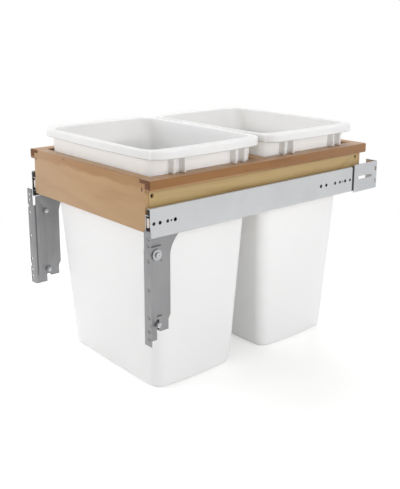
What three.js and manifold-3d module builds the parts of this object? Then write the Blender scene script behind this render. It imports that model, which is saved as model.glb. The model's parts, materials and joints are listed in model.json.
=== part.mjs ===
// Pull-out trash cabinet insert: a wooden frame on two ball-bearing slides carries two lift-out bins.
// Millimetres. X runs across the unit, Y from its front to its back, Z up.
// The origin is on the centre plane, at the cabinet's front edge and at the height of the slides' middle.
import * as THREE from "three";
import { mergeVertices } from "three/addons/utils/BufferGeometryUtils.js";
import Module from "manifold-3d";

const wasm = await Module();
wasm.setup();

// ---- Driving sizes: wooden frame ----
const FRAME_WIDTH = 318; // outside of one side rail to the outside of the other
const FRAME_HEIGHT = 77.5;
const FRAME_TOP = 62.3; // above the middle of the slides
const PANEL_THICKNESS = 19; // front and rear panels
const DIVIDER_THICKNESS = 19;
const RAIL_THICKNESS = 12;
const BIN_OPENING_DEPTH = 216; // front to back, inside one opening of the frame
const PANEL_LIP = 7; // what is left of a panel where it covers the end of a side rail
const CAP_THICKNESS = 5.5; // moulding on top of a side rail
const CAP_DROP = 16.5; // height of the moulding's outer leg
const CAP_EDGE_RADIUS = 2.6;
const SEAT_GAP = 0.3; // between pieces that touch

// ---- Driving sizes: slides ----
const SLIDE_LENGTH = 457;
const SLIDE_HEIGHT = 45.7;
const SLIDE_SPACE = 12.7; // between the frame and the cabinet side
const CABINET_MEMBER_STEEL = 1.2;
const INNER_MEMBER_STEEL = 1.1; // intermediate and drawer members
const OUTER_BALL_RADIUS = 2.1;
const INNER_BALL_RADIUS = 1.7;
const BALL_PLAY = 0.2;
const BALLS_IN_ROW = 6;
const CAGE_LENGTH = 160;
const CAGE_STEEL = 0.5;
const CAGE_WEB = 0.4;
const RUNNING_GAP = 0.3; // between nested slide members and cages
const HOOK_OPENING = 20; // degrees at which the cabinet member's raceway ends
const RACEWAY_LIP = 1; // turned-in edge of the intermediate member
const INTERMEDIATE_SETBACK = 4; // its front end behind the slide's front end
const MEMBER_HOLE_RADIUS = 2.4;
const FRONT_HOLES = [6, 17, 31, 45]; // from the slide's front end
const REAR_HOLES = [89, 75, 51, 38, 30, 16]; // from the slide's rear end

// ---- Driving sizes: rear brackets ----
const BRACKET_STEEL = 1.5;
const BRACKET_HEIGHT = 50.8;
const BRACKET_CLEARANCE = 37; // from the frame's back to the bracket's rear face
const BRACKET_FLANGE = 24; // turned in across the back
const BRACKET_SHOULDER = 2.5; // between the slide's end and the tall part of the bracket
const TONGUE_LENGTH = 45; // inside the slide
const TONGUE_HEIGHT = 28;
const BRACKET_ADJUSTMENT = 20; // how far a bracket slides back out of the slide
const BRACKET_SLOT = { start: 13, length: 41, height: 5.6 };
const FLANGE_SLOT = { fromFold: 7, length: 11, width: 6, height: 12 };
const FOLD_RELIEF = { height: 7.5, width: 4, z: 11.5 }; // slots in the side plate, close to the fold

// ---- Driving sizes: door brackets ----
const ARM_STEEL = 2;
const ARM_TOP = 45; // these heights are measured down from the frame's top
const ARM_STEP = 84;
const ARM_NECK = 118;
const ARM_SHOULDER = 211;
const ARM_TOE_TOP = 218;
const ARM_BOTTOM = 229.5;
const ARM_TOE_DROP = 4.5;
const ARM_FRONT = -1.5; // these depths are measured back from the frame's front
const ARM_REAR = 43.5;
const ARM_TOE_REAR = 39.5;
const ARM_TOE_FRONT = 19;
const ARM_JOGGLE = { top: 81, rise: 2.3 }; // the arm steps outwards just below the frame
const ARM_TONGUE_FRONT = 12;
const ARM_TONGUE_REAR = 66;
const ANGLE_STEEL = 2;
const ANGLE_TOP = 71;
const ANGLE_PLATE_TOP = 100;
const ANGLE_BOTTOM = 244.5;
const ANGLE_FRONT = -6.5;
const ANGLE_REAR = 16;
const ANGLE_FLANGE = 15.2; // turned out behind the door
const ANGLE_BEND = 3;
const ANGLE_EAR_REAR = 26.5;
const UPPER_EAR_HEIGHT = 29;
const LOWER_EAR_HEIGHT = 21;
const DOOR_ADJUSTMENT = 6; // up and down from the middle
const UPPER_FIXING = { y: 16.8, down: 112.3 };
const LOWER_FIXING = { y: 17.5, down: 221 };
const DOOR_HOLES = [81.5, 91.5, 114, 157, 200, 221, 233];
const DOOR_HOLE_RADIUS = 2.2;
const DOOR_HOLE_FROM_EDGE = 5.5;
const EDGE_NOTCHES = [102.7, 211.6];
const EDGE_NOTCH_RADIUS = 2.9;

// ---- Driving sizes: bins ----
const BIN_SIDE_CLEARANCE = 1.5;
const BIN_END_CLEARANCE = 2;
const BIN_DEPTH = 353.5; // below the frame's top
const BIN_RISE = 37; // above the frame's top
const BIN_WALL = 2.6;
const BIN_TAPER_SIDES = 16.5; // each side, from the frame's top to the floor of the bin
const BIN_TAPER_ENDS = 22;
const BIN_CORNER_RADIUS = 19;
const BIN_FLOOR_RADIUS = 7;
const BIN_BOW_SIDES = 5;
const BIN_BOW_ENDS = 1;
const RIM_BOW_SIDES = 6.5;
const RIM_HEIGHT = 13.5;
const RIM_OVERHANG_SIDES = 19.5;
const RIM_GAP = 3; // between the two rims
const RIM_WALL = 2.4;
const RIM_BOW_ENDS = 6;
const RIM_ROUNDING = 1.6;
const RIM_CORNER_RADIUS = 24;
const RIB_THICKNESS = 3;
const RIB_REACH = 14; // out from the body, over the frame
const RIB_ROOT = 1; // into the wall of the bin
const RIB_OFFSETS = [51.5, 71]; // from the bin's middle

// ---- Driving sizes: fasteners and plastic pieces ----
const CLEARANCE_HOLE = 0.3; // added to a shank's radius
const BRACKET_SCREW = { shank: 2.4, head: 3.6, height: 3.4 };
const WASHER = { radius: 8.2, thickness: 1.4 };
const LOWER_WASHER_RADIUS = 4.6;
const NUT = { radius: 4.6, thickness: 4.2 };
const SLIDE_SCREW = { shank: 1.9, head: 3.9, height: 1.5, length: 9 };
const RAIL_SCREW = { shank: 1.6, head: 2.8, height: 2.4, length: 26, down: 25 };
const REAR_SCREW = { shank: 2.2, head: 4, height: 1.5, fromSlideEnd: 16 };
const LEVER = { pivotY: 236, length: 56, height: 7.5, thickness: 4.2, hub: 4.6, hole: 1.8 };
const LEVER_PIN_RADIUS = 1.5;
const BUMPER = { front: 1.2, length: 12, height: 14 };
const FRONT_SLIDE_SCREWS = [22, 54]; // from the frame's front; they pass through the arm
const REAR_SLIDE_SCREW = 65; // from the slide's rear end

// ---- Sizes that follow from these ----
const HALF_FRAME = FRAME_WIDTH / 2;
const FRAME_DEPTH = 2 * PANEL_THICKNESS + 2 * BIN_OPENING_DEPTH + DIVIDER_THICKNESS;
const FRAME_BOTTOM = FRAME_TOP - FRAME_HEIGHT;
const OPENING_HALF = HALF_FRAME - RAIL_THICKNESS;
const WALL_X = HALF_FRAME + SLIDE_SPACE; // the cabinet's side
const SLIDE_SCREW_PLACES = [...FRONT_SLIDE_SCREWS, SLIDE_LENGTH - REAR_SLIDE_SCREW];
const BIN_PITCH = BIN_OPENING_DEPTH + DIVIDER_THICKNESS;
const FRONT_BIN_Y = PANEL_THICKNESS + BIN_OPENING_DEPTH / 2;
const RAIL_TOP = FRAME_TOP - CAP_THICKNESS - SEAT_GAP;
const TRAVEL = SLIDE_LENGTH;
const ARM_OUTER_X = HALF_FRAME - SEAT_GAP;
const ARM_INNER_X = ARM_OUTER_X - ARM_STEEL;
const ARM_LOWER_X = ARM_INNER_X + ARM_JOGGLE.rise; // inner face, below the joggle
const ANGLE_INNER_X = ARM_OUTER_X + ARM_JOGGLE.rise + SEAT_GAP;
const ANGLE_OUTER_X = ANGLE_INNER_X + ANGLE_STEEL;
const BRACKET_BACK = FRAME_DEPTH + BRACKET_CLEARANCE;

// Slide section. Depths across the slide are measured from the cabinet's side towards the frame.
const HOOK_RADIUS = OUTER_BALL_RADIUS + BALL_PLAY;
const OUTER_BALL_Z = SLIDE_HEIGHT / 2 - HOOK_RADIUS - CABINET_MEMBER_STEEL;
const OUTER_BALL_DEPTH = HOOK_RADIUS + CABINET_MEMBER_STEEL;
const OUTER_CAGE_DEPTH = CABINET_MEMBER_STEEL + RUNNING_GAP;
const INTERMEDIATE_DEPTH = OUTER_CAGE_DEPTH + CAGE_WEB + RUNNING_GAP;
const INTERMEDIATE_Z = OUTER_BALL_Z - OUTER_BALL_RADIUS - BALL_PLAY;
const INNER_CAGE_DEPTH = INTERMEDIATE_DEPTH + INNER_MEMBER_STEEL + RUNNING_GAP;
const INNER_BALL_Z = INTERMEDIATE_Z - INNER_MEMBER_STEEL - BALL_PLAY - INNER_BALL_RADIUS;
const DRAWER_MEMBER_Z = INNER_BALL_Z - INNER_BALL_RADIUS - BALL_PLAY;
const DRAWER_MEMBER_DEPTH = INNER_CAGE_DEPTH + CAGE_WEB + RUNNING_GAP;
const DRAWER_WEB_BACK = SLIDE_SPACE - SEAT_GAP;
const DRAWER_WEB_FRONT = DRAWER_WEB_BACK - INNER_MEMBER_STEEL;
const INNER_BALL_DEPTH = (DRAWER_MEMBER_DEPTH + DRAWER_WEB_FRONT) / 2;
const INTERMEDIATE_EDGE = DRAWER_WEB_FRONT - RUNNING_GAP / 2;
const TONGUE_DEPTH = CABINET_MEMBER_STEEL + SEAT_GAP;
const TONGUE_FRONT = SLIDE_LENGTH - TONGUE_LENGTH;
const INTERMEDIATE_BACK = TONGUE_FRONT - 4;
const OUTER_CAGE_FRONT = TRAVEL / 4 + 6;
const INNER_CAGE_FRONT = TRAVEL / 4 + INTERMEDIATE_SETBACK + 28;

// ---- Materials ----
const finish = (color, roughness, metalness = 0) => new THREE.MeshStandardMaterial({ color, roughness, metalness });
const MATERIALS = {
  panelWood: finish(0xbc9b76, 0.55),
  railWood: finish(0xb8a070, 0.55),
  capWood: finish(0x936946, 0.5),
  slideSteel: finish(0xcbcdd0, 0.35, 0.9),
  bracketSteel: finish(0x969696, 0.4, 0.85),
  fastener: finish(0xb4b4b6, 0.35, 0.9),
  cage: finish(0x9a9c9f, 0.4, 0.8),
  binPlastic: finish(0xf0f0ef, 0.4),
  bumperPlastic: finish(0xe6dfd2, 0.6),
  leverPlastic: finish(0x2a2a2c, 0.5),
};

// ---- Geometry helpers ----
const Y_AXIS = new THREE.Vector3(0, 1, 0);
const Z_AXIS = new THREE.Vector3(0, 0, 1);
const X_AXIS = new THREE.Vector3(1, 0, 0);

function block(x0, x1, y0, y1, z0, z1) {
  const geometry = new THREE.BoxGeometry(x1 - x0, y1 - y0, z1 - z0);
  return geometry.translate((x0 + x1) / 2, (y0 + y1) / 2, (z0 + z1) / 2);
}

function shapeOf(points) {
  return new THREE.Shape(points.map(([a, b]) => new THREE.Vector2(a, b)));
}

// An outline in X and Z, run along Y.
function alongY(shape, y0, y1) {
  const geometry = new THREE.ExtrudeGeometry(shape, { depth: y1 - y0, bevelEnabled: false, curveSegments: 8 });
  geometry.applyMatrix4(new THREE.Matrix4().makeBasis(X_AXIS, Z_AXIS, Y_AXIS.clone().negate()));
  return geometry.translate(0, y1, 0);
}

// An outline in Y and Z, run along X.
function alongX(shape, x0, x1) {
  const geometry = new THREE.ExtrudeGeometry(shape, { depth: x1 - x0, bevelEnabled: false, curveSegments: 8 });
  geometry.applyMatrix4(new THREE.Matrix4().makeBasis(Y_AXIS, Z_AXIS, X_AXIS));
  return geometry.translate(x0, 0, 0);
}

// An outline in X and Y, run along Z.
function alongZ(shape, z0, z1) {
  const geometry = new THREE.ExtrudeGeometry(shape, { depth: z1 - z0, bevelEnabled: false, curveSegments: 8 });
  return geometry.translate(0, 0, z0);
}

function rodX(radius, x0, x1, y, z, sides = 12) {
  const geometry = new THREE.CylinderGeometry(radius, radius, x1 - x0, sides);
  return geometry.rotateZ(Math.PI / 2).translate((x0 + x1) / 2, y, z);
}

function rodY(radius, y0, y1, x, z, sides = 12) {
  return new THREE.CylinderGeometry(radius, radius, y1 - y0, sides).translate(x, (y0 + y1) / 2, z);
}

// A slot with round ends through a plate that lies across X; its long side runs along Y or Z.
function slotX(x0, x1, y, z, length, width, along) {
  const half = (length - width) / 2;
  const [dy, dz] = along === "y" ? [half, 0] : [0, half];
  const middle = block(x0, x1, y - Math.max(dy, width / 2), y + Math.max(dy, width / 2),
    z - Math.max(dz, width / 2), z + Math.max(dz, width / 2));
  return [middle, rodX(width / 2, x0, x1, y - dy, z - dz), rodX(width / 2, x0, x1, y + dy, z + dz)];
}

function arc(cx, cy, radius, from, to, steps) {
  return Array.from({ length: steps + 1 }, (_, i) => {
    const angle = THREE.MathUtils.degToRad(from + ((to - from) * i) / steps);
    return [cx + radius * Math.cos(angle), cy + radius * Math.sin(angle)];
  });
}

function solid(geometry) {
  const bare = geometry.clone();
  bare.deleteAttribute("normal");
  bare.deleteAttribute("uv");
  const merged = mergeVertices(bare, 1e-4);
  const triVerts = new Uint32Array(merged.index.array);
  return new wasm.Manifold(
    new wasm.Mesh({ numProp: 3, vertProperties: merged.attributes.position.array, triVerts }),
  );
}

function geometryOf(manifold) {
  const mesh = manifold.getMesh();
  const geometry = new THREE.BufferGeometry();
  geometry.setAttribute("position", new THREE.BufferAttribute(mesh.vertProperties, 3));
  geometry.setIndex(new THREE.BufferAttribute(mesh.triVerts, 1));
  geometry.computeVertexNormals();
  return geometry;
}

function carve(base, joins, cuts) {
  const joined = joins.reduce((body, piece) => body.add(solid(piece)), solid(base));
  return geometryOf(cuts.reduce((body, piece) => body.subtract(solid(piece)), joined));
}

// ---- Wooden frame ----
// A panel across the frame. Its ends are rebated for the side rails and its top corners for the cap mouldings.
function crossPanel() {
  const full = block(-HALF_FRAME, HALF_FRAME, 0, PANEL_THICKNESS, FRAME_BOTTOM, FRAME_TOP);
  const edge = OPENING_HALF - SEAT_GAP;
  const cuts = [-1, 1].flatMap((side) => {
    const [x0, x1] = side > 0 ? [edge, HALF_FRAME + 1] : [-HALF_FRAME - 1, -edge];
    const rebate = block(x0, x1, PANEL_LIP, PANEL_THICKNESS + 1, FRAME_BOTTOM - 1, FRAME_TOP + 1);
    const notch = block(x0, x1, -1, PANEL_THICKNESS + 1, RAIL_TOP, FRAME_TOP + 1);
    const hole = rodX(RAIL_SCREW.shank + CLEARANCE_HOLE, side > 0 ? HALF_FRAME - 40 : -HALF_FRAME,
      side > 0 ? HALF_FRAME : 40 - HALF_FRAME, railScrewY(), FRAME_TOP - RAIL_SCREW.down, 10);
    return [rebate, notch, hole];
  });
  return carve(full, [], cuts);
}

function railScrewY() {
  return (PANEL_LIP + PANEL_THICKNESS) / 2;
}

function divider() {
  const y0 = PANEL_THICKNESS + BIN_OPENING_DEPTH;
  const half = OPENING_HALF - SEAT_GAP;
  return block(-half, half, y0, y0 + DIVIDER_THICKNESS, FRAME_BOTTOM, FRAME_TOP);
}

// The side rails run between the lips of the two panels. The outside has a shallow pocket for the bracket arm.
function sideRail() {
  const y0 = PANEL_LIP + SEAT_GAP;
  const board = block(OPENING_HALF, HALF_FRAME, y0, FRAME_DEPTH - y0, FRAME_BOTTOM, RAIL_TOP);
  const pocket = block(ARM_INNER_X - SEAT_GAP, HALF_FRAME + 1, ARM_TONGUE_FRONT - SEAT_GAP,
    ARM_TONGUE_REAR + SEAT_GAP, FRAME_BOTTOM - 1, FRAME_TOP - ARM_TOP + SEAT_GAP);
  const screwZ = FRAME_TOP - RAIL_SCREW.down;
  const railHoles = [railScrewY(), FRAME_DEPTH - railScrewY()].flatMap((y) => [
    rodX(RAIL_SCREW.shank + CLEARANCE_HOLE, OPENING_HALF - 1, HALF_FRAME + 1, y, screwZ, 10),
    rodX(RAIL_SCREW.head + CLEARANCE_HOLE, HALF_FRAME - 2 * RAIL_SCREW.height, HALF_FRAME + 1, y, screwZ),
  ]);
  const slideHoles = SLIDE_SCREW_PLACES.map((y) =>
    rodX(SLIDE_SCREW.shank + CLEARANCE_HOLE, HALF_FRAME - SLIDE_SCREW.length - 1, HALF_FRAME + 1, y, 0, 10));
  return carve(board, [], [pocket, ...railHoles, ...slideHoles]);
}

// The cap moulding covers a rail's top and hangs down outside it, over the slide.
function capMoulding() {
  const inner = OPENING_HALF;
  const outer = WALL_X;
  const leg = HALF_FRAME + SEAT_GAP;
  const bottom = FRAME_TOP - CAP_DROP;
  const r = CAP_EDGE_RADIUS;
  const outline = [
    [inner, FRAME_TOP - CAP_THICKNESS],
    [leg, FRAME_TOP - CAP_THICKNESS],
    [leg, bottom],
    ...arc(outer - r, bottom + r, r, -90, 0, 4),
    ...arc(outer - r, FRAME_TOP - r, r, 0, 90, 4),
    [inner, FRAME_TOP],
  ];
  return alongY(shapeOf(outline), 0, FRAME_DEPTH);
}

// ---- Slides ----
// A slide section drawn as depth from the cabinet's side and height, mirrored top to bottom, run along Y.
function slideSection(upper, y0, y1) {
  const lower = upper.map(([depth, z]) => [depth, -z]).reverse();
  const outline = [...upper, ...lower].map(([depth, z]) => [WALL_X - depth, z]);
  return alongY(shapeOf(outline), y0, y1);
}

function cabinetMember() {
  const hookOuter = arc(OUTER_BALL_DEPTH, OUTER_BALL_Z, HOOK_RADIUS + CABINET_MEMBER_STEEL, 180, HOOK_OPENING, 7);
  const hookInner = arc(OUTER_BALL_DEPTH, OUTER_BALL_Z, HOOK_RADIUS, HOOK_OPENING, 180, 6);
  // The outline runs up the outside of the web, round the hook and down the inside, then mirrors.
  const upper = [...hookOuter, ...hookInner];
  const lower = upper.map(([depth, z]) => [depth, -z]).reverse();
  const outline = [...upper, ...lower].map(([depth, z]) => [WALL_X - depth, z]);
  const channel = alongY(shapeOf(outline), 0, SLIDE_LENGTH);
  const places = [...FRONT_HOLES, ...REAR_HOLES.map((back) => SLIDE_LENGTH - back)];
  const holes = places.map((y) => rodX(MEMBER_HOLE_RADIUS, WALL_X - OUTER_CAGE_DEPTH, WALL_X + 1, y, 0, 10));
  return carve(channel, [], holes);
}

function intermediateMember() {
  const inside = INTERMEDIATE_Z - INNER_MEMBER_STEEL;
  const webInside = INTERMEDIATE_DEPTH + INNER_MEMBER_STEEL;
  const upper = [
    [INTERMEDIATE_DEPTH, INTERMEDIATE_Z],
    [INTERMEDIATE_EDGE, INTERMEDIATE_Z],
    [INTERMEDIATE_EDGE, inside - RACEWAY_LIP],
    [INTERMEDIATE_EDGE - RACEWAY_LIP, inside - RACEWAY_LIP],
    [INTERMEDIATE_EDGE - RACEWAY_LIP, inside],
    [webInside, inside],
  ];
  return slideSection(upper, INTERMEDIATE_SETBACK, INTERMEDIATE_BACK);
}

function drawerMember() {
  const inside = DRAWER_MEMBER_Z - INNER_MEMBER_STEEL;
  const upper = [
    [DRAWER_WEB_BACK, DRAWER_MEMBER_Z],
    [DRAWER_MEMBER_DEPTH, DRAWER_MEMBER_Z],
    [DRAWER_MEMBER_DEPTH, inside],
    [DRAWER_WEB_FRONT, inside],
  ];
  const channel = slideSection(upper, 0, SLIDE_LENGTH);
  const holes = SLIDE_SCREW_PLACES.map((y) =>
    rodX(SLIDE_SCREW.shank + CLEARANCE_HOLE, HALF_FRAME - 1, WALL_X - DRAWER_WEB_FRONT + 1, y, 0, 10));
  return carve(channel, [], holes);
}

// A ball cage: a thin channel that carries one row of balls along its top edge and one along its bottom edge.
function ballCage(front, webDepth, ballDepth, ballZ, ballRadius) {
  const back = front + CAGE_LENGTH;
  const half = CAGE_STEEL / 2;
  const edge = ballDepth + ballRadius - RUNNING_GAP;
  const web = block(WALL_X - webDepth - CAGE_WEB, WALL_X - webDepth, front, back, -ballZ, ballZ);
  const flanges = [-ballZ, ballZ].map((z) => block(WALL_X - edge, WALL_X - webDepth, front, back, z - half, z + half));
  const pitch = CAGE_LENGTH / BALLS_IN_ROW;
  const balls = [];
  for (const z of [-ballZ, ballZ])
    for (let i = 0; i < BALLS_IN_ROW; i += 1) {
      const ball = new THREE.SphereGeometry(ballRadius, 8, 5);
      balls.push(ball.translate(WALL_X - ballDepth, front + pitch * (i + 0.5), z));
    }
  return carve(web, [...flanges, ...balls], []);
}

const outerCage = () =>
  ballCage(OUTER_CAGE_FRONT, OUTER_CAGE_DEPTH, OUTER_BALL_DEPTH, OUTER_BALL_Z, OUTER_BALL_RADIUS);
const innerCage = () =>
  ballCage(INNER_CAGE_FRONT, INNER_CAGE_DEPTH, INNER_BALL_DEPTH, INNER_BALL_Z, INNER_BALL_RADIUS);

// The lever that frees the drawer member from its slide, and the pin it turns on.
function leverMiddleX() {
  return WALL_X - (DRAWER_MEMBER_DEPTH + DRAWER_WEB_FRONT) / 2;
}

function releaseLever() {
  const x0 = leverMiddleX() - LEVER.thickness / 2;
  const x1 = leverMiddleX() + LEVER.thickness / 2;
  const y0 = LEVER.pivotY - LEVER.length;
  const blade = [
    [LEVER.pivotY, -LEVER.height / 2],
    [LEVER.pivotY, LEVER.height / 2],
    [y0 + LEVER.height, LEVER.height / 3],
    ...arc(y0 + LEVER.height / 2, 0, LEVER.height / 2, 90, 270, 6),
    [y0 + LEVER.height, -LEVER.height / 3],
  ];
  return carve(alongX(shapeOf(blade), x0, x1), [rodX(LEVER.hub, x0, x1, LEVER.pivotY, 0, 16)],
    [rodX(LEVER.hole, x0 - 1, x1 + 1, LEVER.pivotY, 0)]);
}

function leverPin() {
  const x0 = WALL_X - DRAWER_WEB_FRONT + SEAT_GAP;
  return rodX(LEVER_PIN_RADIUS, x0, leverMiddleX() + LEVER.thickness / 2, LEVER.pivotY, 0);
}

function frontBumper() {
  const x0 = WALL_X - DRAWER_WEB_FRONT + SEAT_GAP;
  const x1 = WALL_X - DRAWER_MEMBER_DEPTH;
  const half = BUMPER.height / 2;
  const bevel = (x1 - x0) / 4;
  const outline = [
    [x0, -half], [x1 - bevel, -half], [x1, bevel - half], [x1, half - bevel], [x1 - bevel, half], [x0, half],
  ];
  return alongY(shapeOf(outline), BUMPER.front, BUMPER.front + BUMPER.length);
}

// ---- Rear brackets ----
function rearBracket() {
  const tall = BRACKET_HEIGHT / 2;
  const plateFront = SLIDE_LENGTH + BRACKET_SHOULDER;
  const plateX = WALL_X - BRACKET_STEEL;
  const tongueInner = WALL_X - TONGUE_DEPTH - BRACKET_STEEL;
  const plate = block(plateX, WALL_X, plateFront, BRACKET_BACK, -tall, tall);
  const flange = block(WALL_X - BRACKET_FLANGE, WALL_X, BRACKET_BACK - BRACKET_STEEL, BRACKET_BACK, -tall, tall);
  const joggle = block(tongueInner, WALL_X, plateFront, plateFront + 2 * BRACKET_STEEL,
    -TONGUE_HEIGHT / 2, TONGUE_HEIGHT / 2);
  const tongue = block(tongueInner, WALL_X - TONGUE_DEPTH, TONGUE_FRONT, plateFront + BRACKET_STEEL,
    -TONGUE_HEIGHT / 2, TONGUE_HEIGHT / 2);
  const slotMiddle = plateFront + BRACKET_SLOT.start + BRACKET_SLOT.length / 2 - BRACKET_SHOULDER;
  const sideSlot = slotX(plateX - 1, WALL_X + 1, slotMiddle, 0, BRACKET_SLOT.length, BRACKET_SLOT.height, "y");
  const screwWidth = 2 * (REAR_SCREW.shank + CLEARANCE_HOLE);
  const tongueSlot = slotX(tongueInner - 1, WALL_X - TONGUE_DEPTH + 1,
    SLIDE_LENGTH - REAR_SCREW.fromSlideEnd - BRACKET_ADJUSTMENT / 2, 0,
    BRACKET_ADJUSTMENT + screwWidth, screwWidth, "y");
  const backSlots = [-1, 1].map((side) => {
    const x1 = WALL_X - FLANGE_SLOT.fromFold;
    const z = side * FLANGE_SLOT.height;
    return block(x1 - FLANGE_SLOT.length, x1, BRACKET_BACK - BRACKET_STEEL - 1, BRACKET_BACK + 1,
      z - FLANGE_SLOT.width / 2, z + FLANGE_SLOT.width / 2);
  });
  const reliefs = [-1, 1].map((side) => {
    const z = side * FOLD_RELIEF.z;
    const y1 = BRACKET_BACK - BRACKET_STEEL - 0.5;
    return block(plateX - 1, WALL_X + 1, y1 - FOLD_RELIEF.width, y1,
      z - FOLD_RELIEF.height / 2, z + FOLD_RELIEF.height / 2);
  });
  return carve(plate, [flange, joggle, tongue], [...sideSlot, ...tongueSlot, ...backSlots, ...reliefs]);
}

// ---- Door brackets ----
const down = (distance) => FRAME_TOP - distance;

function bracketArm() {
  const outline = new THREE.Shape();
  outline.moveTo(ARM_TONGUE_FRONT, down(ARM_STEP));
  outline.lineTo(ARM_FRONT, down(ARM_STEP));
  outline.lineTo(ARM_FRONT, down(ARM_BOTTOM));
  outline.lineTo(ARM_TOE_FRONT, down(ARM_BOTTOM));
  outline.lineTo(ARM_TOE_FRONT + ARM_TOE_DROP, down(ARM_BOTTOM + ARM_TOE_DROP));
  outline.lineTo(ARM_TOE_REAR, down(ARM_BOTTOM + ARM_TOE_DROP));
  outline.lineTo(ARM_TOE_REAR, down(ARM_TOE_TOP));
  outline.lineTo(ARM_REAR, down(ARM_SHOULDER));
  outline.lineTo(ARM_REAR, down(ARM_NECK));
  outline.quadraticCurveTo(ARM_REAR + 2, down(ARM_NECK - 20), ARM_TONGUE_REAR, down(ARM_NECK - 35));
  outline.lineTo(ARM_TONGUE_REAR, down(ARM_TOP));
  outline.lineTo(ARM_TONGUE_FRONT, down(ARM_TOP));
  const bend = down(ARM_JOGGLE.top);
  const profile = [[ARM_OUTER_X, down(ARM_TOP - 1)], [ARM_INNER_X, down(ARM_TOP - 1)], [ARM_INNER_X, bend],
    [ARM_LOWER_X, bend - ARM_JOGGLE.rise], [ARM_LOWER_X, down(ARM_BOTTOM + 10)],
    [ARM_LOWER_X + ARM_STEEL, down(ARM_BOTTOM + 10)], [ARM_LOWER_X + ARM_STEEL, bend - ARM_JOGGLE.rise],
    [ARM_OUTER_X, bend]];
  const bentPlate = solid(alongY(shapeOf(profile), ARM_FRONT - 1, ARM_TONGUE_REAR + 1));
  const plate = geometryOf(bentPlate.intersect(solid(alongX(outline, ARM_INNER_X - 1, ANGLE_INNER_X))));
  const fixingHoles = [UPPER_FIXING, LOWER_FIXING].map((place) =>
    rodX(BRACKET_SCREW.shank + CLEARANCE_HOLE, ARM_LOWER_X - 1, ANGLE_INNER_X + 1, place.y, down(place.down)));
  const slideHoles = FRONT_SLIDE_SCREWS.map((y) =>
    rodX(SLIDE_SCREW.shank + CLEARANCE_HOLE, ARM_INNER_X - 1, ARM_OUTER_X + 1, y, 0, 10));
  return carve(plate, [], [...fixingHoles, ...slideHoles]);
}

// The door angle: a side plate against the arm, with two slotted ears, and a flange turned out behind the door.
function doorAngle() {
  const flangeEdge = ANGLE_OUTER_X + ANGLE_FLANGE;
  const flangeBack = ANGLE_FRONT + ANGLE_STEEL;
  const inner = ANGLE_BEND - ANGLE_STEEL;
  const bend = [
    [ANGLE_INNER_X, ANGLE_REAR],
    ...arc(ANGLE_INNER_X + ANGLE_BEND, ANGLE_FRONT + ANGLE_BEND, ANGLE_BEND, 180, 270, 4),
    [flangeEdge, ANGLE_FRONT],
    [flangeEdge, flangeBack],
    ...arc(ANGLE_INNER_X + ANGLE_BEND, ANGLE_FRONT + ANGLE_BEND, inner, 270, 180, 2),
    [ANGLE_OUTER_X, ANGLE_REAR],
  ];
  const angle = alongZ(shapeOf(bend), down(ANGLE_BOTTOM), down(ANGLE_PLATE_TOP));
  const flangeTop = block(ANGLE_INNER_X + ANGLE_BEND, flangeEdge, ANGLE_FRONT, flangeBack,
    down(ANGLE_PLATE_TOP + 1), down(ANGLE_TOP));
  const earTops = [
    [ANGLE_PLATE_TOP, UPPER_EAR_HEIGHT],
    [ARM_BOTTOM - LOWER_EAR_HEIGHT, LOWER_EAR_HEIGHT],
  ];
  const ears = earTops.map(([top, height]) =>
    block(ANGLE_INNER_X, ANGLE_OUTER_X, ANGLE_REAR - 1, ANGLE_EAR_REAR, down(top + height), down(top)));
  const slotWidth = 2 * (BRACKET_SCREW.shank + CLEARANCE_HOLE);
  const slots = [UPPER_FIXING, LOWER_FIXING].flatMap((place) =>
    slotX(ANGLE_INNER_X - 1, ANGLE_OUTER_X + 1, place.y, down(place.down),
      2 * DOOR_ADJUSTMENT + slotWidth, slotWidth, "z"));
  const holes = DOOR_HOLES.map((height) =>
    rodY(DOOR_HOLE_RADIUS, ANGLE_FRONT - 1, flangeBack + 1, flangeEdge - DOOR_HOLE_FROM_EDGE, down(height), 10));
  const notches = EDGE_NOTCHES.map((height) =>
    rodY(EDGE_NOTCH_RADIUS, ANGLE_FRONT - 1, flangeBack + 1, flangeEdge, down(height)));
  return carve(angle, [flangeTop, ...ears], [...slots, ...holes, ...notches]);
}

// ---- Fasteners ----
// A screw with a low domed head; its shank points towards the unit's middle.
function screwX(headX, shankEnd, y, z, size, sides) {
  const head = [
    [0, 0],
    [size.head, 0],
    [size.head, size.height * 0.45],
    [size.head * 0.7, size.height * 0.85],
    [0, size.height],
  ].map(([radius, height]) => new THREE.Vector2(radius, height));
  const dome = new THREE.LatheGeometry(head, sides);
  dome.rotateZ(-Math.PI / 2).translate(headX, y, z);
  return carve(dome, [rodX(size.shank, shankEnd, headX + size.height / 4, y, z, sides)], []);
}

function crossRecess(geometry, faceX, y, z, size) {
  const long = size.head * 0.5;
  const short = size.head * 0.13;
  const depth = size.height * 0.45;
  return carve(geometry, [], [
    block(faceX - depth, faceX + 1, y - long, y + long, z - short, z + short),
    block(faceX - depth, faceX + 1, y - short, y + short, z - long, z + long),
  ]);
}

function washerX(x0, radius, place) {
  const ring = rodX(radius, x0, x0 + WASHER.thickness, place.y, down(place.down), 20);
  const hole = rodX(BRACKET_SCREW.shank + CLEARANCE_HOLE, x0 - 1, x0 + WASHER.thickness + 1,
    place.y, down(place.down));
  return carve(ring, [], [hole]);
}

const WASHER_X = ANGLE_OUTER_X + SEAT_GAP;
const HEAD_X = WASHER_X + WASHER.thickness + SEAT_GAP;
const NUT_X = ARM_LOWER_X - SEAT_GAP;

function bracketScrew(place) {
  const z = down(place.down);
  const plain = screwX(HEAD_X, NUT_X - NUT.thickness - 1, place.y, z, BRACKET_SCREW, 12);
  return crossRecess(plain, HEAD_X + BRACKET_SCREW.height, place.y, z, BRACKET_SCREW);
}

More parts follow.
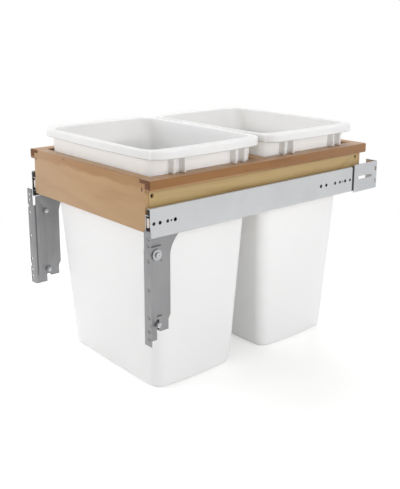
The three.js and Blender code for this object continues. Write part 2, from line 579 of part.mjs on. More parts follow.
function nutX(place) {
  const hexagon = rodX(NUT.radius, NUT_X - NUT.thickness, NUT_X, place.y, down(place.down), 6);
  const hole = rodX(BRACKET_SCREW.shank + CLEARANCE_HOLE, NUT_X - NUT.thickness - 1, NUT_X + 1,
    place.y, down(place.down));
  return carve(hexagon, [], [hole]);
}

function slideScrew(y) {
  const headX = WALL_X - DRAWER_WEB_FRONT + SEAT_GAP;
  return screwX(headX, HALF_FRAME - SLIDE_SCREW.length, y, 0, SLIDE_SCREW, 10);
}

function railScrew(y) {
  const headX = HALF_FRAME - 2 * RAIL_SCREW.height + SEAT_GAP;
  return screwX(headX, headX - RAIL_SCREW.length, y, FRAME_TOP - RAIL_SCREW.down, RAIL_SCREW, 10);
}

function rearBracketScrew() {
  const y = SLIDE_LENGTH - REAR_SCREW.fromSlideEnd;
  const headX = WALL_X - TONGUE_DEPTH - BRACKET_STEEL - SEAT_GAP;
  // This screw is put in from inside the slide, so it is drawn the other way round and turned.
  const screw = screwX(0, -(headX - WALL_X + 0.4) * -1, 0, 0, REAR_SCREW, 10);
  return screw.rotateZ(Math.PI).translate(headX, y, 0);
}

// ---- Bins ----
// A rectangle with round corners whose sides bow out towards their middles.
const CORNER_STEPS = 5;
const SIDE_STEPS = 6;

function bowedOutline(halfX, halfY, radius, bowX, bowY) {
  const flatX = halfX - bowX;
  const flatY = halfY - bowY;
  const corners = [[1, 1, 0], [-1, 1, 90], [-1, -1, 180], [1, -1, 270]];
  const ring = corners.flatMap(([sx, sy, start]) =>
    arc(sx * (flatX - radius), sy * (flatY - radius), radius, start, start + 90, CORNER_STEPS));
  const points = ring.flatMap((point, i) => {
    const next = ring[(i + 1) % ring.length];
    const steps = (i + 1) % (CORNER_STEPS + 1) === 0 ? SIDE_STEPS : 1;
    return Array.from({ length: steps }, (_, k) => [
      point[0] + ((next[0] - point[0]) * k) / steps,
      point[1] + ((next[1] - point[1]) * k) / steps,
    ]);
  });
  return points.map(([x, y]) => [
    x + (bowX * (1 - (y / flatY) ** 2) * x) / flatX,
    y + (bowY * (1 - (x / flatX) ** 2) * y) / flatY,
  ]);
}

// A closed skin through a stack of rings, with a fan at each end.
function skin(rings, firstPoint, lastPoint) {
  const count = rings[0].length;
  const positions = [...rings.flat(2), ...firstPoint, ...lastPoint];
  const first = rings.length * count;
  const indices = [];
  for (let k = 0; k < count; k += 1) {
    const next = (k + 1) % count;
    indices.push(first, next, k);
    indices.push(first + 1, (rings.length - 1) * count + k, (rings.length - 1) * count + next);
    for (let r = 0; r + 1 < rings.length; r += 1) {
      const a = r * count + k;
      const b = r * count + next;
      indices.push(a, b, b + count, a, b + count, a + count);
    }
  }
  const geometry = new THREE.BufferGeometry();
  geometry.setAttribute("position", new THREE.Float32BufferAttribute(positions, 3));
  geometry.setIndex(indices);
  return geometry;
}

const BODY_HALF_X = OPENING_HALF - BIN_SIDE_CLEARANCE;
const BODY_HALF_Y = BIN_OPENING_DEPTH / 2 - BIN_END_CLEARANCE;
const RIM_HALF_X = BODY_HALF_X + RIM_OVERHANG_SIDES;
const RIM_HALF_Y = (BIN_PITCH - RIM_GAP) / 2;
const RIM_TOP = FRAME_TOP + BIN_RISE;
const RIM_BOTTOM = RIM_TOP - RIM_HEIGHT;
const BIN_FLOOR = FRAME_TOP - BIN_DEPTH;

// The body's outline at a height, moved in by an inset.
function bodyRing(z, inset) {
  const below = (FRAME_TOP - z) / BIN_DEPTH;
  const halfX = BODY_HALF_X - BIN_TAPER_SIDES * below - inset;
  const halfY = BODY_HALF_Y - BIN_TAPER_ENDS * below - inset;
  const radius = Math.max(BIN_CORNER_RADIUS - inset, 2);
  return bowedOutline(halfX, halfY, radius, BIN_BOW_SIDES, BIN_BOW_ENDS).map(([x, y]) => [x, y, z]);
}

function rimRing(z, inset) {
  const radius = RIM_CORNER_RADIUS - inset;
  const outline = bowedOutline(RIM_HALF_X - inset, RIM_HALF_Y - inset, radius, RIM_BOW_SIDES, RIM_BOW_ENDS);
  return outline.map(([x, y]) => [x, y, z]);
}

function bin() {
  const r = BIN_FLOOR_RADIUS;
  const w = BIN_WALL;
  const rounding = [0, 30, 60, 90].map((angle) => THREE.MathUtils.degToRad(angle));
  const outerFloor = rounding.map((t) => bodyRing(BIN_FLOOR + r * (1 - Math.cos(t)), r * (1 - Math.sin(t))));
  const innerFloor = rounding.map((t) =>
    bodyRing(BIN_FLOOR + w + (r - w) * (1 - Math.cos(t)), w + (r - w) * (1 - Math.sin(t)))).reverse();
  const rings = [
    ...outerFloor,
    bodyRing(RIM_TOP - RIM_WALL, 0),
    rimRing(RIM_TOP - RIM_WALL, RIM_WALL),
    rimRing(RIM_BOTTOM, RIM_WALL),
    rimRing(RIM_BOTTOM, 0),
    rimRing(RIM_TOP - RIM_ROUNDING, 0),
    rimRing(RIM_TOP, RIM_ROUNDING),
    bodyRing(RIM_TOP, w - RIM_ROUNDING),
    bodyRing(RIM_TOP - RIM_ROUNDING, w),
    ...innerFloor,
  ];
  const shell = skin(rings, [0, 0, BIN_FLOOR], [0, 0, BIN_FLOOR + w]);
  const ribTop = RIM_TOP - RIM_WALL / 2;
  const ribs = [-1, 1].flatMap((side) =>
    RIB_OFFSETS.flatMap((offset) => [offset, -offset]).map((y) => {
      const bow = BIN_BOW_SIDES * (y / (BODY_HALF_Y - BIN_BOW_ENDS)) ** 2;
      const inner = side * (BODY_HALF_X - bow - RIB_ROOT);
      const outer = side * (BODY_HALF_X + RIB_REACH - bow);
      const y0 = y - RIB_THICKNESS / 2;
      return block(Math.min(inner, outer), Math.max(inner, outer), y0, y0 + RIB_THICKNESS,
        FRAME_TOP + SEAT_GAP, ribTop);
    }));
  return carve(shell, ribs, []);
}

// ---- Assembly ----
const unit = new THREE.Group();
unit.name = "pull_out_trash_cabinet";

function place(name, geometry, material, y = 0) {
  const mesh = new THREE.Mesh(geometry, material);
  mesh.name = name;
  mesh.position.y = y;
  unit.add(mesh);
  return mesh;
}

// A piece modelled for the right side, and its mirror image on the left.
function placePair(name, geometry, material) {
  place("right_" + name, geometry, material);
  place("left_" + name, geometry, material).scale.x = -1;
}

place("front_panel", crossPanel(), MATERIALS.panelWood);
place("rear_panel", crossPanel(), MATERIALS.panelWood, FRAME_DEPTH).scale.y = -1;
place("divider", divider(), MATERIALS.panelWood);
placePair("side_rail", sideRail(), MATERIALS.railWood);
placePair("cap_moulding", capMoulding(), MATERIALS.capWood);

placePair("cabinet_member", cabinetMember(), MATERIALS.slideSteel);
placePair("intermediate_member", intermediateMember(), MATERIALS.slideSteel);
placePair("drawer_member", drawerMember(), MATERIALS.slideSteel);
placePair("outer_ball_cage", outerCage(), MATERIALS.cage);
placePair("inner_ball_cage", innerCage(), MATERIALS.cage);
placePair("release_lever", releaseLever(), MATERIALS.leverPlastic);
placePair("lever_pin", leverPin(), MATERIALS.fastener);
placePair("front_bumper", frontBumper(), MATERIALS.bumperPlastic);

placePair("rear_bracket", rearBracket(), MATERIALS.slideSteel);
placePair("rear_bracket_screw", rearBracketScrew(), MATERIALS.fastener);

placePair("bracket_arm", bracketArm(), MATERIALS.bracketSteel);
placePair("door_angle", doorAngle(), MATERIALS.bracketSteel);
placePair("upper_bracket_screw", bracketScrew(UPPER_FIXING), MATERIALS.fastener);
placePair("lower_bracket_screw", bracketScrew(LOWER_FIXING), MATERIALS.fastener);
placePair("upper_washer", washerX(WASHER_X, WASHER.radius, UPPER_FIXING), MATERIALS.fastener);
placePair("lower_washer", washerX(WASHER_X, LOWER_WASHER_RADIUS, LOWER_FIXING), MATERIALS.fastener);
placePair("upper_nut", nutX(UPPER_FIXING), MATERIALS.fastener);
placePair("lower_nut", nutX(LOWER_FIXING), MATERIALS.fastener);
["front", "middle", "rear"].forEach((where, i) =>
  placePair("slide_screw_" + where, slideScrew(SLIDE_SCREW_PLACES[i]), MATERIALS.fastener));
placePair("rail_screw_front", railScrew(railScrewY()), MATERIALS.fastener);
placePair("rail_screw_rear", railScrew(FRAME_DEPTH - railScrewY()), MATERIALS.fastener);

place("front_bin", bin(), MATERIALS.binPlastic, FRONT_BIN_Y);
place("rear_bin", bin(), MATERIALS.binPlastic, FRONT_BIN_Y + BIN_PITCH);

export default unit;
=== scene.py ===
# %% [markdown]
# # A pull-out trash cabinet insert
# Two white bins hang in a wooden frame, the frame rides on two ball-bearing slides, and
# steel brackets join it to the cabinet door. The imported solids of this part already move
# as they should. This lesson dresses them: each piece gets the form and the finish of the
# real one, and rides on the body that carries it.

# %% Load the fixed frame
import json
import math

import bmesh
import bpy
from mathutils import Matrix, Vector


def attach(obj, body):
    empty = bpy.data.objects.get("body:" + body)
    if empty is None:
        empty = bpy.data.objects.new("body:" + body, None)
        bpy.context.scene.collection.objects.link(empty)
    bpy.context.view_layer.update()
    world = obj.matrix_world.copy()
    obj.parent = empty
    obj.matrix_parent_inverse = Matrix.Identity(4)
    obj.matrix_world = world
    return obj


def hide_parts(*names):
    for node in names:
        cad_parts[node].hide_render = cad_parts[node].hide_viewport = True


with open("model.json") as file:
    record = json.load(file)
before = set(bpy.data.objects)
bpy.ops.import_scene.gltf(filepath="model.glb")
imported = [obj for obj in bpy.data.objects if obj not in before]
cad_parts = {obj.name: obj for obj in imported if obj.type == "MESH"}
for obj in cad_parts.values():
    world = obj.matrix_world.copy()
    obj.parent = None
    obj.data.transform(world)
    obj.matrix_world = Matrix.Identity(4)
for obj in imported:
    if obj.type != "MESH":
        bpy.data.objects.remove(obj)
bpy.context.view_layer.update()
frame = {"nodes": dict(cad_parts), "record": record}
BODY_OF = {node: body for body, nodes in frame["record"]["behaviour"]["bodies"].items() for node in nodes}

# %% [markdown]
# ## The camera
# The photograph looks down a little at the front right corner. A camera needs a place, a
# direction and a lens. Two angles give the direction and a distance gives the place, which
# is how a photographer would set it up, and the lens shift moves the picture in its frame.

# %% Camera
TURN, TILT, DISTANCE = math.radians(49.77), math.radians(13.0), 1.33547
AIM = Vector((-0.0300, 0.2445, -0.0138))
FOCAL_LENGTH, SENSOR_WIDTH = 53.876, 36
SHIFT_X, SHIFT_Y = 0.0191, -0.1227
back = Vector((math.cos(TILT) * math.sin(TURN), -math.cos(TILT) * math.cos(TURN), math.sin(TILT)))
lens = bpy.data.cameras.new("camera")
lens.lens, lens.sensor_width = FOCAL_LENGTH, SENSOR_WIDTH
lens.shift_x, lens.shift_y = SHIFT_X, SHIFT_Y
camera = bpy.data.objects.new("camera", lens)
camera.location = AIM + back * DISTANCE
camera.rotation_euler = back.to_track_quat("Z", "Y").to_euler()
bpy.context.scene.collection.objects.link(camera)
bpy.context.scene.camera = camera
bpy.context.scene.view_settings.view_transform = "Standard"
print("camera at", tuple(round(v, 4) for v in camera.location))

# %% [markdown]
# ## Node trees as sums
# Finishes and repeated shapes are both made of nodes. Wiring nodes one by one is long to
# read, so a small class wraps an output and lets it stand in an ordinary sum: every plus
# or times adds the Math node that does it. Another class adds any other node in one line.

# %% A node output that can stand in a sum
class Out:
    """One output of a node."""

    def __init__(self, nodes, socket):
        self.nodes, self.socket = nodes, socket


def sum_method(operation, swapped):
    """What Out does for one sign: it adds a Math node. Swapped, the other value comes first."""
    def method(self, *other):
        return self.nodes.math(operation, *((*other, self) if swapped else (self, *other)))

    return method


SIGNS = {"add": "ADD", "radd": "ADD", "sub": "SUBTRACT", "rsub": "SUBTRACT", "mul": "MULTIPLY", "rmul": "MULTIPLY",
         "truediv": "DIVIDE", "pow": "POWER", "abs": "ABSOLUTE"}
for sign, operation in SIGNS.items():
    setattr(Out, f"__{sign}__", sum_method(operation, sign[0] == "r"))


# %% One method that adds any node
class Nodes:
    """A node tree that is built one node at a time."""

    def __init__(self, tree):
        self.tree = tree
        tree.nodes.clear()

    def add(self, kind, values=None, **settings):
        """Add a node: its settings first, then the values or links of its inputs.

        It returns a function from an output's name to that output.
        """
        node = self.tree.nodes.new(kind)
        for key, value in settings.items():
            setattr(node, key, value)
        for key, value in (values or {}).items():
            socket = self.find(node.inputs, key)
            if isinstance(value, Out):
                self.tree.links.new(value.socket, socket)
            else:
                socket.default_value = value
        return lambda name=0: Out(self, self.find(node.outputs, name))

    @staticmethod
    def find(sockets, key):
        if isinstance(key, int):
            return sockets[key]
        return next((s for s in sockets if s.identifier == key), None) or sockets[key]

    def math(self, operation, *values):
        return self.add("ShaderNodeMath", dict(enumerate(values)), operation=operation)()

    def join(self, x=0, y=0, z=0):
        return self.add("ShaderNodeCombineXYZ", {"X": x, "Y": y, "Z": z})()

    def step(self, value, low, high):
        """0 below low, 1 above high, smooth between."""
        values = {"Value": value, "From Min": low, "From Max": high}
        return self.add("ShaderNodeMapRange", values, interpolation_type="SMOOTHSTEP")()


print("node classes ready")

# %% [markdown]
# ## Words for finishes
# A few shader phrases come back in every finish: noise, a soft step between two limits, a
# blend of two colours. Positions are read from Object coordinates, so a pattern stays put
# on its piece when the piece moves, and they are turned into millimetres, because a
# maker thinks of grain and speckle in millimetres.

# %% Finish helpers
MM = 0.001


def srgb(red, green, blue):
    """A colour as a screen shows it, from 0 to 255, as the linear values that Blender uses."""
    return tuple(((c / 255 + 0.055) / 1.055) ** 2.4 if c > 10 else c / 3294.6 for c in (red, green, blue)) + (1,)


class Finish(Nodes):
    """A material with a Principled shader, and the phrases that every finish uses."""

    def __init__(self, name):
        self.material = bpy.data.materials.new(name)
        self.material.use_nodes = True
        super().__init__(self.material.node_tree)
        self.coordinates = self.add("ShaderNodeTexCoord")
        # The Mapping node turns metres into millimetres.
        in_mm = {"Vector": self.coordinates("Object"), "Scale": (1000, 1000, 1000)}
        self.place = self.add("ShaderNodeMapping", in_mm)()
        self.xyz = self.split(self.place)

    def split(self, vector):
        parts = self.add("ShaderNodeSeparateXYZ", {0: vector})
        return parts("X"), parts("Y"), parts("Z")

    def noise(self, vector, scale=1.0, detail=2.0, roughness=0.5):
        values = {"Vector": vector, "Scale": scale, "Detail": detail, "Roughness": roughness}
        return self.add("ShaderNodeTexNoise", values)()

    def mix(self, factor, a, b):
        values = {"Factor_Float": factor, "A_Color": a, "B_Color": b}
        return self.add("ShaderNodeMix", values, data_type="RGBA")("Result_Color")

    def bump(self, height, strength, distance):
        return self.add("ShaderNodeBump", {"Height": height, "Strength": strength, "Distance": distance})()

    def surface(self, values):
        shader = self.add("ShaderNodeBsdfPrincipled", values)
        self.add("ShaderNodeOutputMaterial", {"Surface": shader("BSDF")})
        print("finish:", self.material.name, len(self.tree.nodes), "nodes")
        return self.material


# %% [markdown]
# ## Light and backdrop
# The photograph is a product shot on white. Large soft lights stand low at the left front
# and at the right, so both faces of a bin are bright and the corner between them, which
# points at the camera, is a little darker. A third stands high at the back left, and its
# light falls into the bins. The backdrop is white only to the camera and to reflections, so
# it doesn't flood the object with light.

# %% World
world = bpy.data.worlds.new("studio")
world.use_nodes = True
bpy.context.scene.world = world
sky = Nodes(world.node_tree)
ROOM_LIGHT = 0.51


def seen_directly(nodes):
    """1 for rays from the camera, and for those that a mirror or glass sends on."""
    path = nodes.add("ShaderNodeLightPath")
    both = nodes.math("MAXIMUM", path("Is Camera Ray"), path("Is Glossy Ray"))
    return nodes.math("MAXIMUM", both, path("Is Transmission Ray"))


room = sky.add("ShaderNodeBackground", {"Color": (1, 1, 1, 1), "Strength": ROOM_LIGHT})
white = sky.add("ShaderNodeBackground", {"Color": (1, 1, 1, 1), "Strength": 1.0})
blend = sky.add("ShaderNodeMixShader", {0: seen_directly(sky), 1: room(), 2: white()})
sky.add("ShaderNodeOutputWorld", {"Surface": blend()})
print("room light", ROOM_LIGHT)

# %% Soft boxes
MIDDLE = Vector((0, 0.2445, -0.08))


def soft_box(name, direction, distance, width, height, level):
    """An area light whose light on a facing surface is level times full white."""
    light = bpy.data.lights.new(name, "AREA")
    light.shape, light.size, light.size_y = "RECTANGLE", width, height
    light.energy = level * math.pi**2 * distance**2
    lamp = bpy.data.objects.new(name, light)
    away = Vector(direction).normalized()
    lamp.location = MIDDLE + away * distance
    lamp.rotation_euler = away.to_track_quat("Z", "Y").to_euler()
    lamp.visible_glossy = False
    bpy.context.scene.collection.objects.link(lamp)
    print(name, "at", tuple(round(v, 2) for v in lamp.location), round(light.energy, 1), "W")


soft_box("left_front_light", (-0.57, -0.76, 0.31), 2.0, 1.4, 1.0, 0.42)
soft_box("right_light", (0.95, 0.0, 0.31), 2.0, 1.4, 1.0, 0.37)
soft_box("back_left_light", (-0.54, 0.45, 0.71), 2.0, 1.4, 1.4, 0.56)

# %% [markdown]
# The floor is a sheet of white paper. Only the camera sees it glow a little, which lifts it
# to the white of the backdrop, and the glow takes over further out, so there is no horizon.
# Close to the bins the paper still shows their soft shadow.

# %% Floor
FLOOR_Z, HALF_FLOOR = -0.2915, 6
PAPER_WHITE, PAPER_GLOW = 0.88, 0.29
FADE_FROM, FADE_TO = 0.35, 1.0
floor_mesh = bpy.data.meshes.new("floor")
floor_corners = [(sx * HALF_FLOOR, sy * HALF_FLOOR, FLOOR_Z) for sx, sy in ((-1, -1), (1, -1), (1, 1), (-1, 1))]
floor_mesh.from_pydata(floor_corners, [], [(0, 1, 2, 3)])
floor = bpy.data.objects.new("floor", floor_mesh)
bpy.context.scene.collection.objects.link(floor)
floor_finish = bpy.data.materials.new("floor")
floor_finish.use_nodes = True
ground = Nodes(floor_finish.node_tree)
paper = ground.add("ShaderNodeBsdfDiffuse", {"Color": (PAPER_WHITE, PAPER_WHITE, PAPER_WHITE, 1)})
glow = ground.add("ShaderNodeEmission", {"Color": (1, 1, 1, 1), "Strength": seen_directly(ground) * PAPER_GLOW})
lit = ground.add("ShaderNodeAddShader", {0: paper(), 1: glow()})
backdrop = ground.add("ShaderNodeEmission", {"Color": (1, 1, 1, 1), "Strength": 1.0})
place = ground.add("ShaderNodeTexCoord")("Object")
centred = ground.add("ShaderNodeMapping", {"Vector": place, "Location": (0, -MIDDLE.y, 0)})()
reach = ground.add("ShaderNodeVectorMath", {0: centred}, operation="LENGTH")("Value")
far = ground.step(reach, FADE_FROM, FADE_TO)
sheet = ground.add("ShaderNodeMixShader", {0: far * seen_directly(ground), 1: lit(), 2: backdrop()})
ground.add("ShaderNodeOutputMaterial", {"Surface": sheet()})
floor_mesh.materials.append(floor_finish)
print("floor at", FLOOR_Z)

# %% [markdown]
# ## Wood
# The frame is three kinds of wood: pale pinkish panels, yellower side rails and reddish
# brown mouldings. Real grain is growth rings cut by the saw, so the finish is a solid
# pattern: rings round a far pith that wander along the trunk, fine fibres stretched along
# the grain, and darker end grain. Because it is solid, it runs round a board's edges.

# %% Wood finish
def wood(name, along, light, dark, end, pith, spacing, contrast, marks=None):
    """Wood whose grain runs along X or Y. Sizes are in millimetres."""
    make = Finish(name)
    x, y, z = make.xyz
    grain, across = (x, y) if along == "X" else (y, x)
    sway = make.noise(make.join(across * 0.011, z * 0.016, grain * 0.0042), 1, 2) - 0.5
    drift = make.noise(make.join(across * 0.02, z * 0.02, grain * 0.0021 + 7.3), 1, 1) - 0.5
    u, v = across - pith[0] + sway * 26, z + pith[1] + drift * 34
    radius = ((u * u + v * v) ** 0.5) / spacing
    ring = make.math("FRACT", radius)
    late = make.step(ring, 0.35, 0.93) * (1 - make.step(ring, 0.95, 1.0))
    fibre = make.noise(make.join(across * 2.1, z * 2.1, grain * 0.035), 1, 3, 0.62)
    pores = make.step(make.noise(make.join(across * 5.5, z * 5.5, grain * 0.16 + 3.1), 1, 1), 0.62, 0.74)
    cloud = make.noise(make.join(across * 0.03, z * 0.05, grain * 0.009), 1, 3)
    shade = late * (0.42 * contrast) + (fibre - 0.42) * (0.9 * contrast) + (cloud - 0.42) * 0.95 + pores * 0.16
    colour = make.mix(make.step(shade, -0.05, 0.95), light, dark)
    facing = make.split(make.coordinates("Normal"))[0 if along == "X" else 1]
    cut_end = make.step(abs(facing), 0.75, 0.95)
    colour = make.mix(cut_end * (0.7 + 0.3 * late), colour, end)
    if marks:
        colour = marks(make, colour)
    gloss = 0.46 + (fibre - 0.5) * 0.22 + cut_end * 0.25
    relief = make.bump(fibre * 0.6 + late * 0.35 - pores * 0.5, 0.35, 0.00012)
    values = {"Base Color": colour, "Roughness": gloss, "Normal": relief, "Coat Weight": 0.12, "Coat Roughness": 0.35}
    return make.surface(values)


# %% [markdown]
# The front panel carries marks that tell it from a plain board: a darker streak along its
# upper edge, a small knot, and the stain round the two brads near its ends. Its left end is
# darkened with painted shade. Each mark is a soft distance from a place on the panel. The
# mouldings carry a painted highlight on top and along the front of their lower edge.

# %% Front panel marks
def panel_marks(make, colour):
    x, y, z = make.xyz
    near_face = 1 - make.step(y, 1.5, 4.0)
    edge = make.noise(make.join(x * 0.022, z * 0.05, 0.0), 1, 2)
    low = 49 + (edge - 0.5) * 16
    ends = 0.6 + make.step(x, -140, -40) * 0.4 - make.step(x, 40, 120) * 0.25
    streak = make.step(z - low, -3.5, 2.5) * ends * near_face
    # Painted shade: the left end of the panel's face is darkened towards a grey brown.
    colour = make.mix((1 - make.step(x, -165, 20)) * 0.35, colour, srgb(158, 128, 98))
    colour = make.mix(streak * 0.66, colour, srgb(152, 106, 58))
    u, v = (x + 61.9) / 6.5, (z - 58.6) / 2.3
    knot = (1 - make.step((u * u + v * v) ** 0.5 + (edge - 0.5) * 0.5, 0.35, 1.15)) * near_face
    colour = make.mix(knot * 0.75, colour, srgb(120, 74, 45))
    side = make.math("COMPARE", x, 152.2, 20)
    left = make.math("COMPARE", x, -152.6, 20)
    a, b = (x - 152.2 * side + 152.6 * left) / 1.8, (z - 47.4) / 3.6
    brad = (1 - make.step((a * a + b * b) ** 0.5, 0.6, 1.25)) * near_face * (side + left)
    return make.mix(brad * 0.95, colour, srgb(70, 40, 28))


# %% Moulding marks
def cap_marks(make, colour):
    """A painted highlight on a moulding's top, in patches, and another along its lower edge at the front."""
    x, y, z = make.xyz
    painted_top_highlight = make.step(make.split(make.coordinates("Normal"))[2], 0.6, 0.95)
    patches = make.step(make.noise(make.join(x * 0.05, y * 0.012, 0.0), 1, 3), 0.3, 0.7)
    # Painted highlight: faces that point up are lightened, more strongly in some patches.
    colour = make.mix(painted_top_highlight * (0.5 + patches * 0.4), colour, srgb(184, 147, 112))
    # Painted highlight along the lower edge of the outer face, fading towards the back.
    painted_edge_highlight = (1 - make.step(z, 48.4, 50.0)) * (1 - make.step(y, 120, 330)) * (1 - painted_top_highlight)
    return make.mix(painted_edge_highlight * 0.55, colour, srgb(184, 148, 108))


# %% The three woods
PANEL_TONES = srgb(184, 148, 107), srgb(154, 114, 76), srgb(182, 150, 108)
PANEL_WOOD = wood("panel_wood", "X", *PANEL_TONES, (40, 120), 3.4, 0.28)
FRONT_WOOD = wood("front_panel_wood", "X", *PANEL_TONES, (40, 120), 3.4, 0.28, panel_marks)
RAIL_WOOD = wood("rail_wood", "Y", srgb(190, 163, 113), srgb(160, 130, 84), srgb(196, 170, 122), (70, 60), 2.9, 0.5)
CAP_WOOD = wood("cap_wood", "Y", srgb(147, 102, 54), srgb(106, 65, 31), srgb(90, 50, 25), (90, 70), 2.1, 0.5, cap_marks)

# %% [markdown]
# ## Steel
# The slides are zinc-plated strip: a cool grey with a faint speckle of zinc crystals and
# long rolling lines. The brackets are plainer and darker. A metal has no colour of its own
# apart from what it mirrors, so its speckle goes into both the tint and the roughness.

# %% Steel finish
def steel(name, light, dark, roughness, lines=0.5, speckle=0.5, along="Y"):
    make = Finish(name)
    x, y, z = make.xyz
    length, width = (y, z) if along == "Y" else (z, y)
    crystals = make.add("ShaderNodeTexVoronoi", {"Vector": make.place, "Scale": 0.9})("Color")
    grey = make.split(crystals)[0]
    fine = make.noise(make.place, 2.6, 2)
    rolling = make.noise(make.join(x * 1.4, width * 1.6, length * 0.012), 1, 3)
    cloud = make.noise(make.place, 0.02, 2)
    shade = 0.5 + (grey - 0.5) * (0.5 * speckle) + (fine - 0.5) * speckle
    shade = shade + (rolling - 0.5) * lines + (cloud - 0.5) * 0.7
    colour = make.mix(make.step(shade, 0.0, 1.0), dark, light)
    gloss = roughness + (grey - 0.5) * 0.08 + (rolling - 0.5) * 0.12
    relief = make.bump(rolling * 0.6 + fine * 0.4, 0.18, 0.00006)
    values = {"Base Color": colour, "Roughness": gloss, "Metallic": 1.0, "Normal": relief}
    return make.surface(values)


ZINC = steel("zinc_plated_slide", srgb(212, 213, 214), srgb(196, 198, 200), 0.42)
GALVANISED = steel("galvanised_bracket", srgb(210, 212, 214), srgb(191, 193, 196), 0.45, 0.4, 0.9)
BRACKET_STEEL = steel("bracket_steel", srgb(166, 166, 167), srgb(148, 148, 150), 0.5, 0.35, 0.35, "Z")
BRIGHT_ZINC = steel("bright_zinc", srgb(226, 228, 230), srgb(196, 198, 202), 0.28, 0.2, 0.5)
DULL_ZINC = steel("dull_zinc", srgb(206, 207, 208), srgb(190, 191, 193), 0.55, 0.2, 0.4)
DARK_SCREW = steel("dark_screw", srgb(104, 90, 78), srgb(76, 64, 54), 0.5, 0.2, 0.3)
BALL_STEEL = steel("ball_steel", srgb(222, 223, 225), srgb(202, 203, 206), 0.16, 0.1, 0.15)

# %% [markdown]
# ## Plastics
# The bins are satin polypropylene: nearly white, with the fine texture of a blasted mould
# and slow waves in the gloss where the plastic cooled. Light comes through the thin walls
# but not through the doubled rim, so the rim is painted a little greyer as shade, and a
# painted shadow runs along the band's lower edge. The bumpers are pinkish nylon, the levers
# black, and the cages of the balls natural resin; black pieces of painted shade sit in the slides.

# %% Plastic finish
def painted_rim_shade(make, colour):
    """The rims of both bins painted a greyer tone as shade, with a painted shadow along the band's lower edge."""
    x, y, z = make.xyz
    from_centre = abs(abs(y - 244.5) - 117.5)
    outside = make.math("MAXIMUM", abs(x) - 148, from_centre - 109)
    painted_rim_shade_mask = make.step(z, 84.5, 85.5) * make.step(outside, -1.5, 1.0)
    # Painted shade: the doubled rim is greyed, standing in for the light that does not come through it.
    colour = make.mix(painted_rim_shade_mask, colour, srgb(240, 240, 239))
    # Painted shadow: a thin dark line along the lowest millimetre or two of the band.
    foot = (1 - make.step(z, 86.6, 87.6)) * painted_rim_shade_mask
    return make.mix(foot * 0.8, colour, srgb(184, 184, 182))


def plastic(name, light, dark, roughness, grain=3.0, relief=0.12, inner_glow=0.0, marks=None):
    make = Finish(name)
    x, y, z = make.xyz
    texture = make.noise(make.place, grain, 3, 0.6)
    flow = make.noise(make.join(x * 0.02, y * 0.02, z * 0.008), 1, 3)
    scuffs = make.step(make.noise(make.join(x * 0.6, y * 0.6, z * 0.05), 1, 3, 0.6), 0.62, 0.8)
    shade = 0.45 + (flow - 0.5) * 1.1 + (texture - 0.5) * 0.35 - scuffs * 0.2
    colour = make.mix(make.step(shade, 0.0, 1.0), dark, light)
    if marks:
        colour = marks(make, colour)
    gloss = roughness + (flow - 0.5) * 0.14 + (texture - 0.5) * 0.1 + scuffs * 0.06
    values = {"Base Color": colour, "Roughness": gloss, "Normal": make.bump(texture, relief, 0.00008),
              "Subsurface Weight": inner_glow, "Subsurface Radius": (1, 1, 0.95), "Subsurface Scale": 0.006}
    return make.surface(values)


BIN_TONES = srgb(252, 252, 251), srgb(249, 249, 247)
BIN_WHITE = plastic("bin_polypropylene", *BIN_TONES, 0.42, inner_glow=0.85, marks=painted_rim_shade)
CREAM = plastic("bumper_nylon", srgb(232, 219, 210), srgb(220, 206, 196), 0.45, 2.0)
# Black plastic for the levers, also used for the black pieces of painted shade in the slides.
BLACK = plastic("lever_plastic", srgb(28, 28, 30), srgb(16, 16, 18), 0.5, 2.0, 0.2)
RESIN = plastic("cage_resin", srgb(206, 208, 206), srgb(186, 188, 186), 0.4, 2.0)
print("materials:", len(bpy.data.materials))

# %% [markdown]
# ## Ways to make a piece
# Every piece ends in the same way: a plain mesh with its place in its points, edges marked
# sharp where they turn hard, one finish, and a body to ride on. Left-hand pieces are mirror
# images, and mirroring turns faces inside out, so they are turned back.

# %% Piece helpers
def link(name, mesh):
    obj = bpy.data.objects.new(name, mesh)
    bpy.context.scene.collection.objects.link(obj)
    return obj


def mesh_from(name, bm, degrees=32):
    """A mesh from bmesh, smooth except over edges that turn more than this many degrees."""
    bm.normal_update()
    for face in bm.faces:
        face.smooth = True
    for edge in bm.edges:
        edge.smooth = len(edge.link_faces) == 2 and edge.calc_face_angle(0) < math.radians(degrees)
    mesh = bpy.data.meshes.new(name)
    bm.to_mesh(mesh)
    bm.free()
    return mesh


def bmesh_of(mesh):
    bm = bmesh.new()
    bm.from_mesh(mesh)
    return bm


def mirrored(mesh, name):
    """The left-hand twin of a right-hand mesh."""
    bm = bmesh_of(mesh)
    bmesh.ops.scale(bm, vec=(-1, 1, 1), verts=bm.verts)
    bmesh.ops.reverse_faces(bm, faces=bm.faces)
    return mesh_from(name, bm)


def evaluated(obj):
    """The plain mesh that an object's modifiers make; the object is removed."""
    graph = bpy.context.evaluated_depsgraph_get()
    graph.update()
    mesh = bpy.data.meshes.new_from_object(obj.evaluated_get(graph), depsgraph=graph)
    bpy.data.objects.remove(obj)
    return mesh


def eased(mesh, width, segments=2, degrees=30):
    """The mesh with its hard edges rounded by this many millimetres."""
    obj = link("eased", mesh)
    bevel = obj.modifiers.new("ease", "BEVEL")
    bevel.width, bevel.segments = width * MM, segments
    bevel.limit_method, bevel.angle_limit = "ANGLE", math.radians(degrees)
    return mesh_from(mesh.name, bmesh_of(evaluated(obj)))


